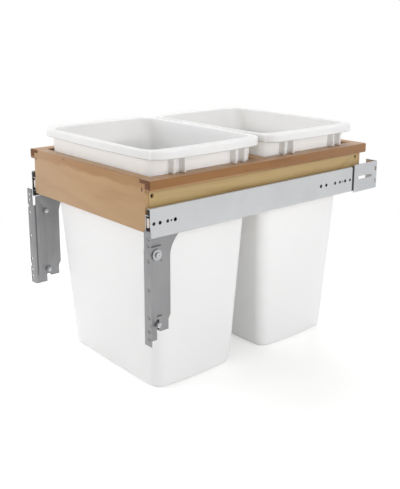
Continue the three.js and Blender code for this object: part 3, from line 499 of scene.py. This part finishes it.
def carved(mesh, tool, operation="DIFFERENCE"):
    """The mesh with another cut out of it, or joined to it."""
    obj, cutter = link("carved", mesh), link("cutter", tool)
    boolean = obj.modifiers.new("cut", "BOOLEAN")
    boolean.object, boolean.operation, boolean.solver = cutter, operation, "EXACT"
    result = evaluated(obj)
    bpy.data.objects.remove(cutter)
    return mesh_from("carved", bmesh_of(result))


def solid_of(node):
    """A merged copy of a CAD node, its flat faces made whole."""
    bm = bmesh_of(frame["nodes"][node].data)
    bmesh.ops.remove_doubles(bm, verts=bm.verts, dist=2e-6)
    bmesh.ops.dissolve_limit(bm, angle_limit=math.radians(0.8), verts=bm.verts, edges=bm.edges)
    return mesh_from(node + "_copy", bm)


def settle(name, mesh, nodes, material):
    """Give a piece its finish and its body, and hide the CAD nodes that it stands for."""
    assert len(mesh.polygons) > 0, name + " has no faces"
    obj = link(name, mesh)
    mesh.materials.clear()
    mesh.materials.append(material)
    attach(obj, BODY_OF[nodes[0]])
    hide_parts(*nodes)
    print(name, "faces", len(mesh.polygons), "on", BODY_OF[nodes[0]])
    return obj


def settle_pair(name, mesh, material):
    """A right-hand piece and its left-hand twin."""
    for side, shape in (("right", mesh), ("left", mirrored(mesh, "left_" + name))):
        settle(f"{side}_{name}_piece", shape, [f"{side}_{name}"], material)


def eased_pair(name, width, material, segments=2):
    """A pair in the shape of its solids, with their edges rounded."""
    settle_pair(name, eased(solid_of("right_" + name), width, segments), material)


# %% [markdown]
# ## The bins
# Each bin is one moulding. Its outline is a rectangle with round corners whose sides bow
# out, which keeps a thin wall stiff; it shrinks towards the floor so bins can be stacked.
# A stack of such outlines, joined ring to ring, gives the wall, the rounded floor, the
# flat rim and the band that hangs from it. Making it in code gives every ring by rule.

# %% The bin's outline
FRAME_TOP = 62.3
BIN_DEPTH, BIN_WALL, FLOOR_RADIUS = 353.5, 2.6, 7.0
RIM_TOP, RIM_HEIGHT, RIM_WALL = 99.3, 13.5, 2.4
FRONT_BIN_Y, BIN_PITCH = 127.0, 235.0
# Half widths along X and Y at the frame's top, how much they shrink to the floor, and corners.
MOUTH_X, MOUTH_Y, DRAFT_X, DRAFT_Y, MOUTH_CORNER = 145.5, 106, 16.5, 22, 19
RIM_X, RIM_Y, RIM_CORNER = 165, 116, 24


def bowed(half_x, half_y, radius, bow_x, bow_y, corner=9, side=12):
    """Points of a rectangle with round corners whose sides bow out, in millimetres."""
    flat_x, flat_y = half_x - bow_x, half_y - bow_y
    ring = []
    for k, (sx, sy) in enumerate(((1, 1), (-1, 1), (-1, -1), (1, -1))):
        for i in range(corner + 1):
            t = math.radians(90 * k + 90 * i / corner)
            ring.append((sx * (flat_x - radius) + radius * math.cos(t), sy * (flat_y - radius) + radius * math.sin(t)))
    points = []
    for i, (x, y) in enumerate(ring):
        nx, ny = ring[(i + 1) % len(ring)]
        steps = side if (i + 1) % (corner + 1) == 0 else 1
        points += [(x + (nx - x) * k / steps, y + (ny - y) * k / steps) for k in range(steps)]
    return [(x + bow_x * (1 - (y / flat_y) ** 2) * x / flat_x,
             y + bow_y * (1 - (x / flat_x) ** 2) * y / flat_y) for x, y in points]


def body_ring(z, inset):
    below = (FRAME_TOP - z) / BIN_DEPTH
    half_x, half_y = MOUTH_X - DRAFT_X * below - inset, MOUTH_Y - DRAFT_Y * below - inset
    return [(x, y, z) for x, y in bowed(half_x, half_y, max(MOUTH_CORNER - inset, 2), 5, 1)]


def rim_ring(z, inset):
    return [(x, y, z) for x, y in bowed(RIM_X - inset, RIM_Y - inset, RIM_CORNER - inset, 6.5, 6)]


print("points in a ring:", len(body_ring(0, 0)))


# %% The bin's skin
def quarter(start, end, steps=6):
    return [math.radians(start + (end - start) * i / steps) for i in range(steps + 1)]


def bin_rings():
    floor_z, w, r, under = FRAME_TOP - BIN_DEPTH, BIN_WALL, FLOOR_RADIUS, RIM_TOP - RIM_WALL
    rings = [body_ring(floor_z + r * (1 - math.cos(t)), r * (1 - math.sin(t))) for t in quarter(0, 90)]
    rings += [body_ring(floor_z + r + (under - floor_z - r) * k / 8, 0) for k in range(1, 8)]
    # The corner under the rim, then the inside, the lower edge and the outside of the band.
    rings += [body_ring(under - 1.2, 0), body_ring(under - 0.3, -0.5), body_ring(under, -1.5)]
    rings += [rim_ring(under, RIM_WALL + 1.2), rim_ring(under - 1.2, RIM_WALL)]
    foot = RIM_TOP - RIM_HEIGHT
    rings += [rim_ring(foot + 0.5, RIM_WALL), rim_ring(foot + 0.1, RIM_WALL - 0.25), rim_ring(foot, RIM_WALL - 0.6)]
    rings += [rim_ring(foot + 1.4 * (1 - math.cos(t)), 1.4 * (1 - math.sin(t))) for t in quarter(0, 90, 4)]
    edge = 2.0
    rings += [rim_ring(RIM_TOP - edge * (1 - math.sin(t)), edge * (1 - math.cos(t))) for t in quarter(0, 90)]
    lip = 1.6
    rings += [body_ring(RIM_TOP - lip * (1 - math.cos(t)), w - lip + lip * math.sin(t)) for t in quarter(0, 90)]
    inner = r - w
    rings += [body_ring(RIM_TOP - lip - (RIM_TOP - lip - floor_z - r) * k / 8, w) for k in range(1, 8)]
    rings += [body_ring(floor_z + w + inner * (1 - math.cos(t)), w + inner * (1 - math.sin(t))) for t in quarter(90, 0)]
    return rings


def skin(rings):
    """A closed bmesh through a stack of rings, with a flat face at each end."""
    bm = bmesh.new()
    levels = [[bm.verts.new(Vector(p) * MM) for p in ring] for ring in rings]
    count = len(rings[0])
    for low, high in zip(levels, levels[1:]):
        for k in range(count):
            n = (k + 1) % count
            bm.faces.new((low[k], low[n], high[n], high[k]))
    bm.faces.new(list(reversed(levels[0])))
    bm.faces.new(levels[-1])
    return bm


BIN_SHELL = mesh_from("bin_shell", skin(bin_rings()))
print("bin shell faces:", len(BIN_SHELL.polygons))

# %% [markdown]
# ## Geometry Nodes for what repeats
# Ribs, screws, washers and balls repeat, and so do the holes in the steel. Each repeat is a
# small node tree with named inputs. One tree puts copies of a piece on points; it turns
# each copy by the angle that its point carries. The result is baked to a plain mesh.

# %% Tree helpers
class Tree(Nodes):
    """A Geometry Nodes tree with named inputs."""

    def __init__(self, name, inputs):
        super().__init__(bpy.data.node_groups.new(name, "GeometryNodeTree"))
        socket = self.tree.interface.new_socket
        socket("Geometry", in_out="OUTPUT", socket_type="NodeSocketGeometry")
        self.inputs = {"Geometry": socket("Geometry", in_out="INPUT", socket_type="NodeSocketGeometry")}
        for title, kind in inputs.items():
            self.inputs[title] = socket(title, in_out="INPUT", socket_type="NodeSocket" + kind)
        self.given = self.add("NodeGroupInput")

    def named(self, title):
        """A value that each point carries."""
        return self.add("GeometryNodeInputNamedAttribute", {"Name": title}, data_type="FLOAT")("Attribute")

    def put(self, points, shape, **placing):
        """A copy of a shape on each point."""
        values = {"Points": points, "Instance": shape, **placing}
        return self.add("GeometryNodeInstanceOnPoints", values)("Instances")

    def finish(self, geometry):
        real = self.add("GeometryNodeRealizeInstances", {"Geometry": geometry})()
        coated = self.add("GeometryNodeSetMaterial", {"Geometry": real, "Material": self.given("Material")})()
        self.add("NodeGroupOutput", {"Geometry": coated})
        print("tree:", self.tree.name, len(self.tree.nodes), "nodes")

    def run(self, mesh, values):
        """Bake the tree on a mesh with these inputs."""
        obj = link("baking", mesh)
        modifier = obj.modifiers.new(self.tree.name, "NODES")
        modifier.node_group = self.tree
        for title, value in values.items():
            modifier[self.inputs[title].identifier] = value
        return evaluated(obj)


def points_mesh(name, places, **carried):
    """Loose points, in millimetres, each carrying its own numbers."""
    mesh = bpy.data.meshes.new(name)
    mesh.from_pydata([tuple(Vector(p) * MM) for p in places], [], [])
    for title, values in carried.items():
        mesh.attributes.new(title, "FLOAT", "POINT").data.foreach_set("value", values)
    return mesh


# %% The tree of copies
copies = Tree("copies_on_points", {"Piece": "Object", "Material": "Material"})
piece_input = {"Object": copies.given("Piece")}
pattern = copies.add("GeometryNodeObjectInfo", piece_input, transform_space="ORIGINAL")("Geometry")
rotation = copies.add("FunctionNodeEulerToRotation", {0: copies.join(z=copies.named("turn"))})()
copies.finish(copies.put(copies.given("Geometry"), pattern, Rotation=rotation))


def copies_of(mesh, places, turns, material):
    """A plain mesh of copies of a piece at these places."""
    piece = link("pattern", mesh)
    baked = copies.run(points_mesh("places", places, turn=turns), {"Piece": piece, "Material": material})
    bpy.data.objects.remove(piece)
    return baked


# %% The ribs
def rib():
    """One rib, from the bin's wall outwards, with draft and rounded edges."""
    top, foot, reach, half = RIM_TOP - RIM_WALL / 2, FRAME_TOP + 0.3, 14.0, 1.5
    outline = [(-0.8, foot), (reach - 0.8, foot), (reach, foot + 0.8), (reach, top), (0.6, top)]
    bm = bmesh.new()
    faces = []
    for y, lean in ((-half, 0.25), (half, -0.25)):
        faces.append([bm.verts.new(Vector((x, y + lean * (x / reach), z)) * MM) for x, z in outline])
    bm.faces.new(faces[0])
    bm.faces.new(list(reversed(faces[1])))
    for i in range(len(outline)):
        n = (i + 1) % len(outline)
        bm.faces.new((faces[0][n], faces[0][i], faces[1][i], faces[1][n]))
    return eased(mesh_from("rib", bm), 0.3)


def rib_places(centre_y):
    places, turns = [], []
    for side in (1, -1):
        for y in (51.5, 71.0, -51.5, -71.0):
            places.append((side * (MOUTH_X - 5 * (y / 105) ** 2), centre_y + y, 0))
            turns.append(0 if side > 0 else math.pi)
    return places, turns


RIB = rib()
for where, centre_y in (("front", FRONT_BIN_Y), ("rear", FRONT_BIN_Y + BIN_PITCH)):
    shell = BIN_SHELL.copy()
    shell.transform(Matrix.Translation((0, centre_y * MM, 0)))
    ribs = copies_of(RIB.copy(), *rib_places(centre_y), BIN_WHITE)
    settle(where + "_bin_moulding", carved(shell, ribs, "UNION"), [where + "_bin"], BIN_WHITE)

# %% [markdown]
# ## The wooden frame
# Two panels, a divider and two rails make the frame. Their joints, screw holes and the
# pocket for the bracket are already cut in the solids, so a merged copy of each solid only
# needs its sawn edges eased, which is what sandpaper does.

# %% Boards
for node, material in (("front_panel", FRONT_WOOD), ("rear_panel", PANEL_WOOD), ("divider", PANEL_WOOD)):
    settle(node + "_board", eased(solid_of(node), 0.7), [node], material)
eased_pair("side_rail", 0.5, RAIL_WOOD)
eased_pair("cap_moulding", 0.4, CAP_WOOD)

# %% [markdown]
# ## The slides
# A slide is three strips of steel rolled into channels, one inside the other, with rows of
# balls between them. A rolled strip has the same section all along, so a tree makes it: it
# runs one flat outline back along Y, closes both ends and punches a hole at every loose
# point that comes with the outline. A real mill works in the same order.

# %% The tree of rolled and punched strips
def punched(tree, solid, points):
    """Subtract a cylinder at each point, as wide as the point says."""
    bar = {"Vertices": 20, "Radius": 1.0, "Depth": tree.given("Punch depth")}
    tool = tree.add("GeometryNodeMeshCylinder", bar, fill_type="NGON")("Mesh")
    width = tree.named("hole_radius")
    turn = tree.add("FunctionNodeEulerToRotation", {0: tree.given("Punch turn")})()
    tools = tree.put(points, tool, Rotation=turn, Scale=tree.join(width, width, 1.0))
    real = tree.add("GeometryNodeRealizeInstances", {"Geometry": tools})()
    both = {"Mesh 1": solid, "Mesh 2": real}
    return tree.add("GeometryNodeMeshBoolean", both, operation="DIFFERENCE", solver="EXACT")("Mesh")


def parts_of(tree):
    """The faces that came in, and the loose points that came with them."""
    loose = tree.add("GeometryNodeInputMeshVertexNeighbors")("Vertex Count")
    lone = tree.add("FunctionNodeCompare", {"A_INT": loose, "B_INT": 0}, data_type="INT", operation="EQUAL")("Result")
    sorting = {"Geometry": tree.given("Geometry"), "Selection": lone}
    split = tree.add("GeometryNodeSeparateGeometry", sorting, domain="POINT")
    return split("Inverted"), split("Selection")


INPUTS = {"Length": "Float", "Punch depth": "Float", "Punch turn": "Vector", "Material": "Material"}
strip = Tree("rolled_strip", INPUTS)
outline, holes = parts_of(strip)
flipped = strip.add("GeometryNodeFlipFaces", {"Mesh": outline})()
along = strip.join(y=strip.given("Length"))
pull = {"Mesh": flipped, "Offset": along, "Offset Scale": 1.0, "Individual": False}
run = strip.add("GeometryNodeExtrudeMesh", pull, mode="FACES")("Mesh")
both = strip.add("GeometryNodeJoinGeometry")
for part in (run, outline):
    strip.tree.links.new(part.socket, strip.tree.nodes[-1].inputs[0])
closed = strip.add("GeometryNodeMergeByDistance", {"Geometry": both(), "Distance": 0.000001})()
strip.finish(punched(strip, closed, holes))

plate = Tree("punched_plate", {k: v for k, v in INPUTS.items() if k != "Length"})
plate.finish(punched(plate, *parts_of(plate)))


# %% Outlines
def arc(cx, cy, radius, start, end, steps):
    """Points of an arc, in degrees."""
    return [(cx + radius * math.cos(t), cy + radius * math.sin(t)) for t in quarter(start, end, steps)]


def rounded(points, radius, steps=3):
    """An outline with each corner rounded by up to this radius."""
    result = []
    for i, corner in enumerate(points):
        a, b, c = Vector(points[i - 1]), Vector(corner), Vector(points[(i + 1) % len(points)])
        into, out = (a - b), (c - b)
        cut = min(radius, into.length * 0.45, out.length * 0.45)
        start, end = b + into.normalized() * cut, b + out.normalized() * cut
        for k in range(steps + 1):
            t = k / steps
            result.append(tuple(start * (1 - t) ** 2 + b * 2 * t * (1 - t) + end * t**2))
    return result


def add_holes(bm, places, radii):
    """Loose points that say where and how wide to punch."""
    width = bm.verts.layers.float.new("hole_radius")
    for place, radius in zip(places, radii):
        bm.verts.new(Vector(place) * MM)[width] = radius * MM


ACROSS_X = (0.0, math.pi / 2, 0.0)
SLIDE_LENGTH, WALL_X, REAR_GAP = 457.0, 171.7, 3.4


def rolled(name, outline, y0, y1, holes, material):
    """A strip with this outline of X and Z, from y0 to y1, punched across X."""
    bm = bmesh.new()
    face = bm.faces.new([bm.verts.new(Vector((x, y0, z)) * MM) for x, z in outline])
    face.normal_update()
    if face.normal.y > 0:
        face.normal_flip()
    add_holes(bm, [(x, y, z) for x, y, z, _ in holes], [r for *_, r in holes])
    mesh = bpy.data.meshes.new(name)
    bm.to_mesh(mesh)
    bm.free()
    values = {"Length": (y1 - y0) * MM, "Punch depth": 3 * MM, "Punch turn": ACROSS_X, "Material": material}
    return mesh_from(name, bmesh_of(strip.run(mesh, values)), 34)


def both_halves(upper):
    """A slide section: depths from the cabinet wall and heights, mirrored top to bottom."""
    lower = [(depth, -z) for depth, z in reversed(upper)]
    return [(WALL_X - depth, z) for depth, z in upper + lower]


# %% [markdown]
# The outer member hooks round the outer balls at top and bottom. Its web has the row of
# holes that the photograph shows near each end. The intermediate member is open where the
# screws pass, so the holes look dark, and its turned-in lips hold the inner balls.

# %% Slide members
FRONT_HOLES = ((6, 2.8), (17, 2.9), (31, 2.6), (37.7, 1.6), (45, 3.0))
REAR_HOLES = ((368, 3.0), (382, 2.9), (406, 2.8), (419, 2.7), (426, 1.5), (433.5, 3.0), (447.5, 2.6))
hook_x, hook_z, hook_r = 3.5, 19.35, 2.3
outer_upper = arc(hook_x, hook_z, hook_r + 1.2, 180, 20, 16) + arc(hook_x, hook_z, hook_r, 20, 180, 14)
web_holes = [(WALL_X - 0.6, y, 0, r) for y, r in FRONT_HOLES + REAR_HOLES]
outer_member = rolled("cabinet_member", both_halves(outer_upper), 0, SLIDE_LENGTH - REAR_GAP, web_holes, ZINC)
settle_pair("cabinet_member", outer_member, ZINC)

middle_upper = [(2.2, 17.05), (11.15, 17.05), (11.15, 14.95), (10.15, 14.95), (10.15, 15.95), (3.3, 15.95)]
# Each hole is a little wider than the one in front of it. Holes that touch would spoil the cut.
middle_holes = [(WALL_X - 2.75, y, 0, r + 0.6) for y, r in FRONT_HOLES + REAR_HOLES[:3]]
middle_holes += [(WALL_X - 2.75, y, 0, 4.0) for y in (110, 176, 250, 318)]
middle_member = rolled("intermediate_member", rounded(both_halves(middle_upper), 0.9), 4, 408, middle_holes, ZINC)
settle_pair("intermediate_member", middle_member, ZINC)

inner_upper = [(12.4, 12.15), (4.3, 12.15), (4.3, 11.05), (11.3, 11.05)]
inner_holes = [(WALL_X - 11.85, y, 0, 2.2) for y in (22, 54, 392)]
inner_holes += [(WALL_X - 11.85, y, 0, r) for y, r in ((86, 2.6), (118, 2.6), (300, 2.6), (340, 2.6), (430, 2.6))]
inner_member = rolled("drawer_member", rounded(both_halves(inner_upper), 0.7), 0, SLIDE_LENGTH, inner_holes, ZINC)
settle_pair("drawer_member", inner_member, ZINC)

# %% [markdown]
# ## Ball cages
# A cage is a thin channel that keeps its balls apart. The balls are copies on evenly
# spaced points, and the channel's web has a round window midway between each two neighbouring balls.

# %% Cages and balls
balls = Tree("ball_rows", {"Count": "Int", "Pitch": "Float", "Ball radius": "Float", "Material": "Material"})
spacing = {"Count": balls.given("Count"), "Offset": balls.join(y=balls.given("Pitch"))}
row = balls.add("GeometryNodeMeshLine", spacing, mode="OFFSET")()
ball = balls.add("GeometryNodeMeshIcoSphere", {"Radius": balls.given("Ball radius"), "Subdivisions": 3})("Mesh")
starts = balls.put(balls.given("Geometry"), row)
lines = balls.add("GeometryNodeRealizeInstances", {"Geometry": starts})()
balls.finish(balls.put(lines, ball))


CAGE_LENGTH, BALLS_IN_ROW = 160, 6


def cage(name, front, web, ball_depth, ball_z, ball_radius):
    """A ball cage with its two rows of balls."""
    edge, pitch = ball_depth + ball_radius - 0.3, CAGE_LENGTH / BALLS_IN_ROW
    upper = [(web, ball_z + 0.25), (edge, ball_z + 0.25), (edge, ball_z - 0.25), (web + 0.4, ball_z - 0.25)]
    windows = [(WALL_X - web - 0.2, front + pitch * (i + 1), 0, min(6.5, ball_z - 5)) for i in range(BALLS_IN_ROW - 1)]
    channel = rolled(name, rounded(both_halves(upper), 0.2, 2), front, front + CAGE_LENGTH, windows, RESIN)
    centres = points_mesh("rows", [(WALL_X - ball_depth, front + pitch / 2, z) for z in (-ball_z, ball_z)])
    values = {"Count": BALLS_IN_ROW, "Pitch": pitch * MM, "Ball radius": ball_radius * MM, "Material": BALL_STEEL}
    rows = mesh_from(name + "_balls", bmesh_of(balls.run(centres, values)))
    settle_pair(name, channel, RESIN)
    for side, mesh in (("right", rows), ("left", mirrored(rows, "left"))):
        obj = link(f"{side}_{name}_balls", mesh)
        mesh.materials.clear()
        mesh.materials.append(BALL_STEEL)
        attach(obj, BODY_OF[f"{side}_{name}"])
    print(name, "with", 2 * BALLS_IN_ROW, "balls")


cage("outer_ball_cage", SLIDE_LENGTH / 4 + 6, 1.5, 3.5, 19.35, 2.1)
cage("inner_ball_cage", SLIDE_LENGTH / 4 + 32, 3.6, 7.8, 14.05, 1.7)

# %% [markdown]
# ## Small plastic parts of the slides, and black pieces of painted shade
# The lever that frees the drawer and the bumper that stops it are mouldings. Their solids
# have the right outline, so a merged copy only gets its edges rounded. Black pieces stand in
# for shade: one across the front of the intermediate member, one in the rear ends of the outer
# member's hooks, and a thin black sheet of painted shade behind the rearmost holes. The strip
# tree makes all three.

# %% Levers, pins and bumpers
eased_pair("release_lever", 0.5, BLACK, 3)
eased_pair("lever_pin", 0.3, BRIGHT_ZINC)
eased_pair("front_bumper", 0.6, CREAM, 3)


def painted_shade_piece(name, upper, y0, y1, body_node):
    """A black piece of painted shade with this upper half of its section, on both slides."""
    shape = eased(rolled(name, both_halves(upper), y0, y1, [], BLACK), 0.4)
    for side, mesh in (("right", shape), ("left", mirrored(shape, "left"))):
        obj = link(f"{side}_{name}", mesh)
        mesh.materials.clear()
        mesh.materials.append(BLACK)
        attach(obj, BODY_OF[f"{side}_{body_node}"])
    print(name, "faces", len(shape.polygons))


front_upper = [(1.45, 12.5), (1.6, 19.6), (8.8, 19.6), (8.8, 12.5), (2.05, 12.5)]
# Painted shade: a black piece across the front of the intermediate member, top and bottom.
painted_shade_piece("front_end_cap", front_upper, 1.2, 9.2, "intermediate_member")
rear_upper = arc(hook_x, hook_z, 3.45, 180, 0, 12) + [(6.95, 14.5), (1.35, 14.5)]
# Painted shade: black pieces in the open rear ends of the outer member's hooks.
painted_shade_piece("rear_end_cap", rear_upper, 453.9, 459.0, "cabinet_member")
# The black sheet of painted shade lies in the narrow gap between the outer member's web and the rear bracket's tongue.
painted_shade_piece("rear_end_liner", [(1.26, 13.8), (1.42, 13.8)], 443.6, 458.8, "cabinet_member")

# %% [markdown]
# ## The brackets
# The rear brackets and the door brackets are cut and folded plate. A cut edge is slightly
# rounded by deburring, and that thin bright line is most of what the eye sees of a plate,
# so the copies of their solids are eased by a few tenths of a millimetre.

# %% Rear brackets
eased_pair("rear_bracket", 0.3, GALVANISED)


# %% [markdown]
# The arm's outline is drawn again with a finer curve at its neck. It is cut flat, then bent:
# a step in the plate moves everything below the frame outwards, and moving each point by a
# rule of its height does the same.

# %% Bracket arms
def flat_plate(outline, x0, x1, cuts=()):
    """A plate with this outline of Y and Z, with extra lines across it at these heights."""
    bm = bmesh.new()
    sides = [[bm.verts.new(Vector((x, y, z)) * MM) for y, z in outline] for x in (x0, x1)]
    bm.faces.new(sides[0])
    bm.faces.new(list(reversed(sides[1])))
    for i in range(len(outline)):
        n = (i + 1) % len(outline)
        bm.faces.new((sides[0][n], sides[0][i], sides[1][i], sides[1][n]))
    bmesh.ops.recalc_face_normals(bm, faces=bm.faces)
    for z in cuts:
        everything = bm.verts[:] + bm.edges[:] + bm.faces[:]
        bmesh.ops.bisect_plane(bm, geom=everything, plane_co=(0, 0, z * MM), plane_no=(0, 0, 1), dist=1e-7)
    return bm


def down(distance):
    return FRAME_TOP - distance


neck = [(43.5, down(118))]
for k in range(1, 13):
    t = k / 12
    y = 43.5 * (1 - t) ** 2 + 2 * 45.5 * t * (1 - t) + 66 * t**2
    z = down(118) * (1 - t) ** 2 + 2 * down(98) * t * (1 - t) + down(83) * t**2
    neck.append((y, z))
lower_edge = [(12, down(84)), (-1.5, down(84)), (-1.5, down(229.5)), (19, down(229.5)),
              (23.5, down(234)), (39.5, down(234)), (39.5, down(218)), (43.5, down(211))]
arm_outline = lower_edge + neck + [(66, down(45)), (12, down(45))]
STEP_TOP, STEP_RISE = down(81), 2.3
step_lines = [STEP_TOP + 0.8, STEP_TOP, STEP_TOP - 0.6, STEP_TOP - 1.7, STEP_TOP - 2.3, STEP_TOP - 3.1]
arm_bm = flat_plate(arm_outline, 156.7, 158.7, step_lines)
for vert in arm_bm.verts:
    t = min(max((STEP_TOP + 0.4 - vert.co.z / MM) / (STEP_RISE + 0.8), 0), 1)
    vert.co.x += STEP_RISE * MM * t * t * (3 - 2 * t)
FIXINGS = ((16.8, down(112.3)), (17.5, down(221)))
arm_holes = [(160, y, z) for y, z in FIXINGS] + [(157.7, 22, 0), (157.7, 54, 0)]
add_holes(arm_bm, arm_holes, [2.7, 2.7, 2.2, 2.2])
arm_mesh = bpy.data.meshes.new("arm")
arm_bm.to_mesh(arm_mesh)
arm_bm.free()
arm_values = {"Punch depth": 8 * MM, "Punch turn": ACROSS_X, "Material": BRACKET_STEEL}
arm = eased(plate.run(arm_mesh, arm_values), 0.35, 2, 40)
settle_pair("bracket_arm", arm, BRACKET_STEEL)

# %% Door angles
def drilled(mesh, places, radius, axis):
    """The mesh with a round hole along this axis at each place."""
    bm = bmesh.new()
    turn = Matrix.Rotation(math.pi / 2, 4, axis)
    r = radius * MM
    for place in places:
        matrix = Matrix.Translation(Vector(place) * MM) @ turn
        bmesh.ops.create_cone(bm, cap_ends=True, segments=20, radius1=r, radius2=r, depth=8 * MM, matrix=matrix)
    return carved(mesh, mesh_from("drills", bm))


flange_holes = [(175.0, -5.5, down(height)) for height in (81.5, 91.5, 114, 157, 200, 221, 233)]
angle = drilled(solid_of("right_door_angle"), flange_holes, 3.0, "X")
angle = drilled(angle, [(164.3, 25.3, -60.1)], 1.3, "Y")
settle_pair("door_angle", eased(angle, 0.3, 2, 28), BRACKET_STEEL)

# %% [markdown]
# ## Screws, washers and nuts
# Each kind is modelled once, lying along X with its head outwards, and copied to its
# places. A head is a turned profile, and its cross recess is cut out with a Boolean. Only
# the rear brackets' screws are turned round, with their tips outwards.

# %% Fastener shapes
def turned(profile, sides=28):
    """A solid turned round the X axis from (x, radius) points; it starts and ends on the axis."""
    bm = bmesh.new()
    rings = []
    for x, radius in profile:
        if radius == 0:
            rings.append([bm.verts.new((x * MM, 0, 0))])
        else:
            turns = [2 * math.pi * k / sides for k in range(sides)]
            rings.append([bm.verts.new(Vector((x, radius * math.cos(t), radius * math.sin(t))) * MM) for t in turns])
    for low, high in zip(rings, rings[1:]):
        for k in range(sides):
            n = (k + 1) % sides
            corners = [low[k % len(low)], low[n % len(low)], high[n % len(high)], high[k % len(high)]]
            bm.faces.new(list(dict.fromkeys(corners)))
    bmesh.ops.recalc_face_normals(bm, faces=bm.faces)
    return mesh_from("turned", bm)


def cross(x0, x1, reach, half):
    """A cross-shaped bar along X."""
    r, h = reach, half
    outline = [(h, h), (h, r), (-h, r), (-h, h), (-r, h), (-r, -h),
               (-h, -h), (-h, -r), (h, -r), (h, -h), (r, -h), (r, h)]
    return mesh_from("cross", flat_plate(outline, x0, x1))


def screw(head, height, shank, length):
    """A pan-head screw: its head sits on x = 0 and its shank runs to -length."""
    dome = [(height * (0.42 + 0.58 * math.sin(t)), head * math.cos(t) ** 0.7) for t in quarter(0, 84, 7)]
    threads = []
    for k in range(int(length / 1.6)):
        x = -length + 1.4 + k * 1.6
        threads = [(x, shank), (x + 0.8, shank * 0.84)][::-1] + threads
    profile = [(height, 0)] + dome[::-1] + [(0, head), (0, shank)] + threads + [(-length, shank * 0.4), (-length, 0)]
    body = turned(profile)
    return carved(body, cross(height * 0.45, height + 1, head * 0.5, head * 0.13))


def ring(radius, hole, thickness, dish=0.0):
    """A washer; with a dish, the part under the screw's head is sunk."""
    floor_x = thickness - 0.6 if dish else thickness
    profile = [(0, hole), (0, radius - 0.2), (0.15, radius), (thickness - 0.25, radius), (thickness, radius - 0.3)]
    profile += [(thickness, dish), (floor_x, dish - 0.5)] if dish else []
    profile += [(floor_x, hole), (0, hole)]
    bm = bmesh_of(turned(profile, 40))
    bmesh.ops.remove_doubles(bm, verts=bm.verts, dist=1e-7)
    bmesh.ops.recalc_face_normals(bm, faces=bm.faces)
    return mesh_from("ring", bm)


def nut(radius, hole, thickness):
    """A hexagon nut, its corners chamfered by a turned shape, with its hole."""
    hexagon = [(radius * math.cos(math.radians(60 * k)), radius * math.sin(math.radians(60 * k))) for k in range(6)]
    body = mesh_from("hexagon", flat_plate(hexagon, -thickness, 0))
    end, side = radius * 0.9, radius * 1.02
    limit = turned([(-thickness, 0), (-thickness, end), (-thickness + 0.6, side), (-0.6, side), (0, end), (0, 0)])
    chamfered = carved(body, limit, "INTERSECT")
    return carved(chamfered, turned([(-thickness - 1, 0), (-thickness - 1, hole), (1, hole), (1, 0)]))


def fasten(name, shape, places, nodes, material=BRIGHT_ZINC):
    """Copies of a fastener on both sides; one piece for each body that they ride on."""
    groups = {}
    for node, place in zip(nodes, places):
        for side, sign, turn in (("right", 1, 0.0), ("left", -1, math.pi)):
            full = f"{side}_{node}"
            groups.setdefault(BODY_OF[full], []).append((full, (sign * place[0], place[1], place[2]), turn))
    for body, members in groups.items():
        mesh = copies_of(shape.copy(), [m[1] for m in members], [m[2] for m in members], material)
        full = f"{name}_{body}" if len(groups) > 1 else name
        settle(full, mesh_from(full, bmesh_of(mesh)), [m[0] for m in members], material)


# %% Fasteners in their places
PLATE_FACE = 163.3
heads = [(PLATE_FACE + 2.0, y, z) for y, z in FIXINGS]
fasten("bracket_screws", screw(3.6, 3.4, 2.4, 13.0), heads, ["upper_bracket_screw", "lower_bracket_screw"])
fasten("upper_washers", ring(8.2, 2.7, 1.4, 5.2), [(PLATE_FACE + 0.3, *FIXINGS[0])], ["upper_washer"], DULL_ZINC)
fasten("lower_washers", ring(4.6, 2.7, 1.4), [(PLATE_FACE + 0.3, *FIXINGS[1])], ["lower_washer"], BRACKET_STEEL)
fasten("bracket_nuts", nut(4.6, 2.5, 4.2), [(158.7, y, z) for y, z in FIXINGS], ["upper_nut", "lower_nut"], DULL_ZINC)
slide_places = [(WALL_X - 11.3 + 0.3, y, 0) for y in (22, 54, 392)]
slide_nodes = ["slide_screw_front", "slide_screw_middle", "slide_screw_rear"]
fasten("slide_screws", screw(3.9, 1.5, 1.9, 10.4), slide_places, slide_nodes)
rear_screw = mirrored(screw(4.0, 1.5, 2.2, 2.9), "rear_screw")
fasten("rear_bracket_screws", rear_screw, [(WALL_X - 3.3, 441, 0)], ["rear_bracket_screw"])
rail_places = [(159 - 4.8 + 0.3, y, down(25)) for y in (13, 476)]
fasten("rail_screws", screw(2.8, 2.4, 1.6, 26), rail_places, ["rail_screw_front", "rail_screw_rear"], DARK_SCREW)
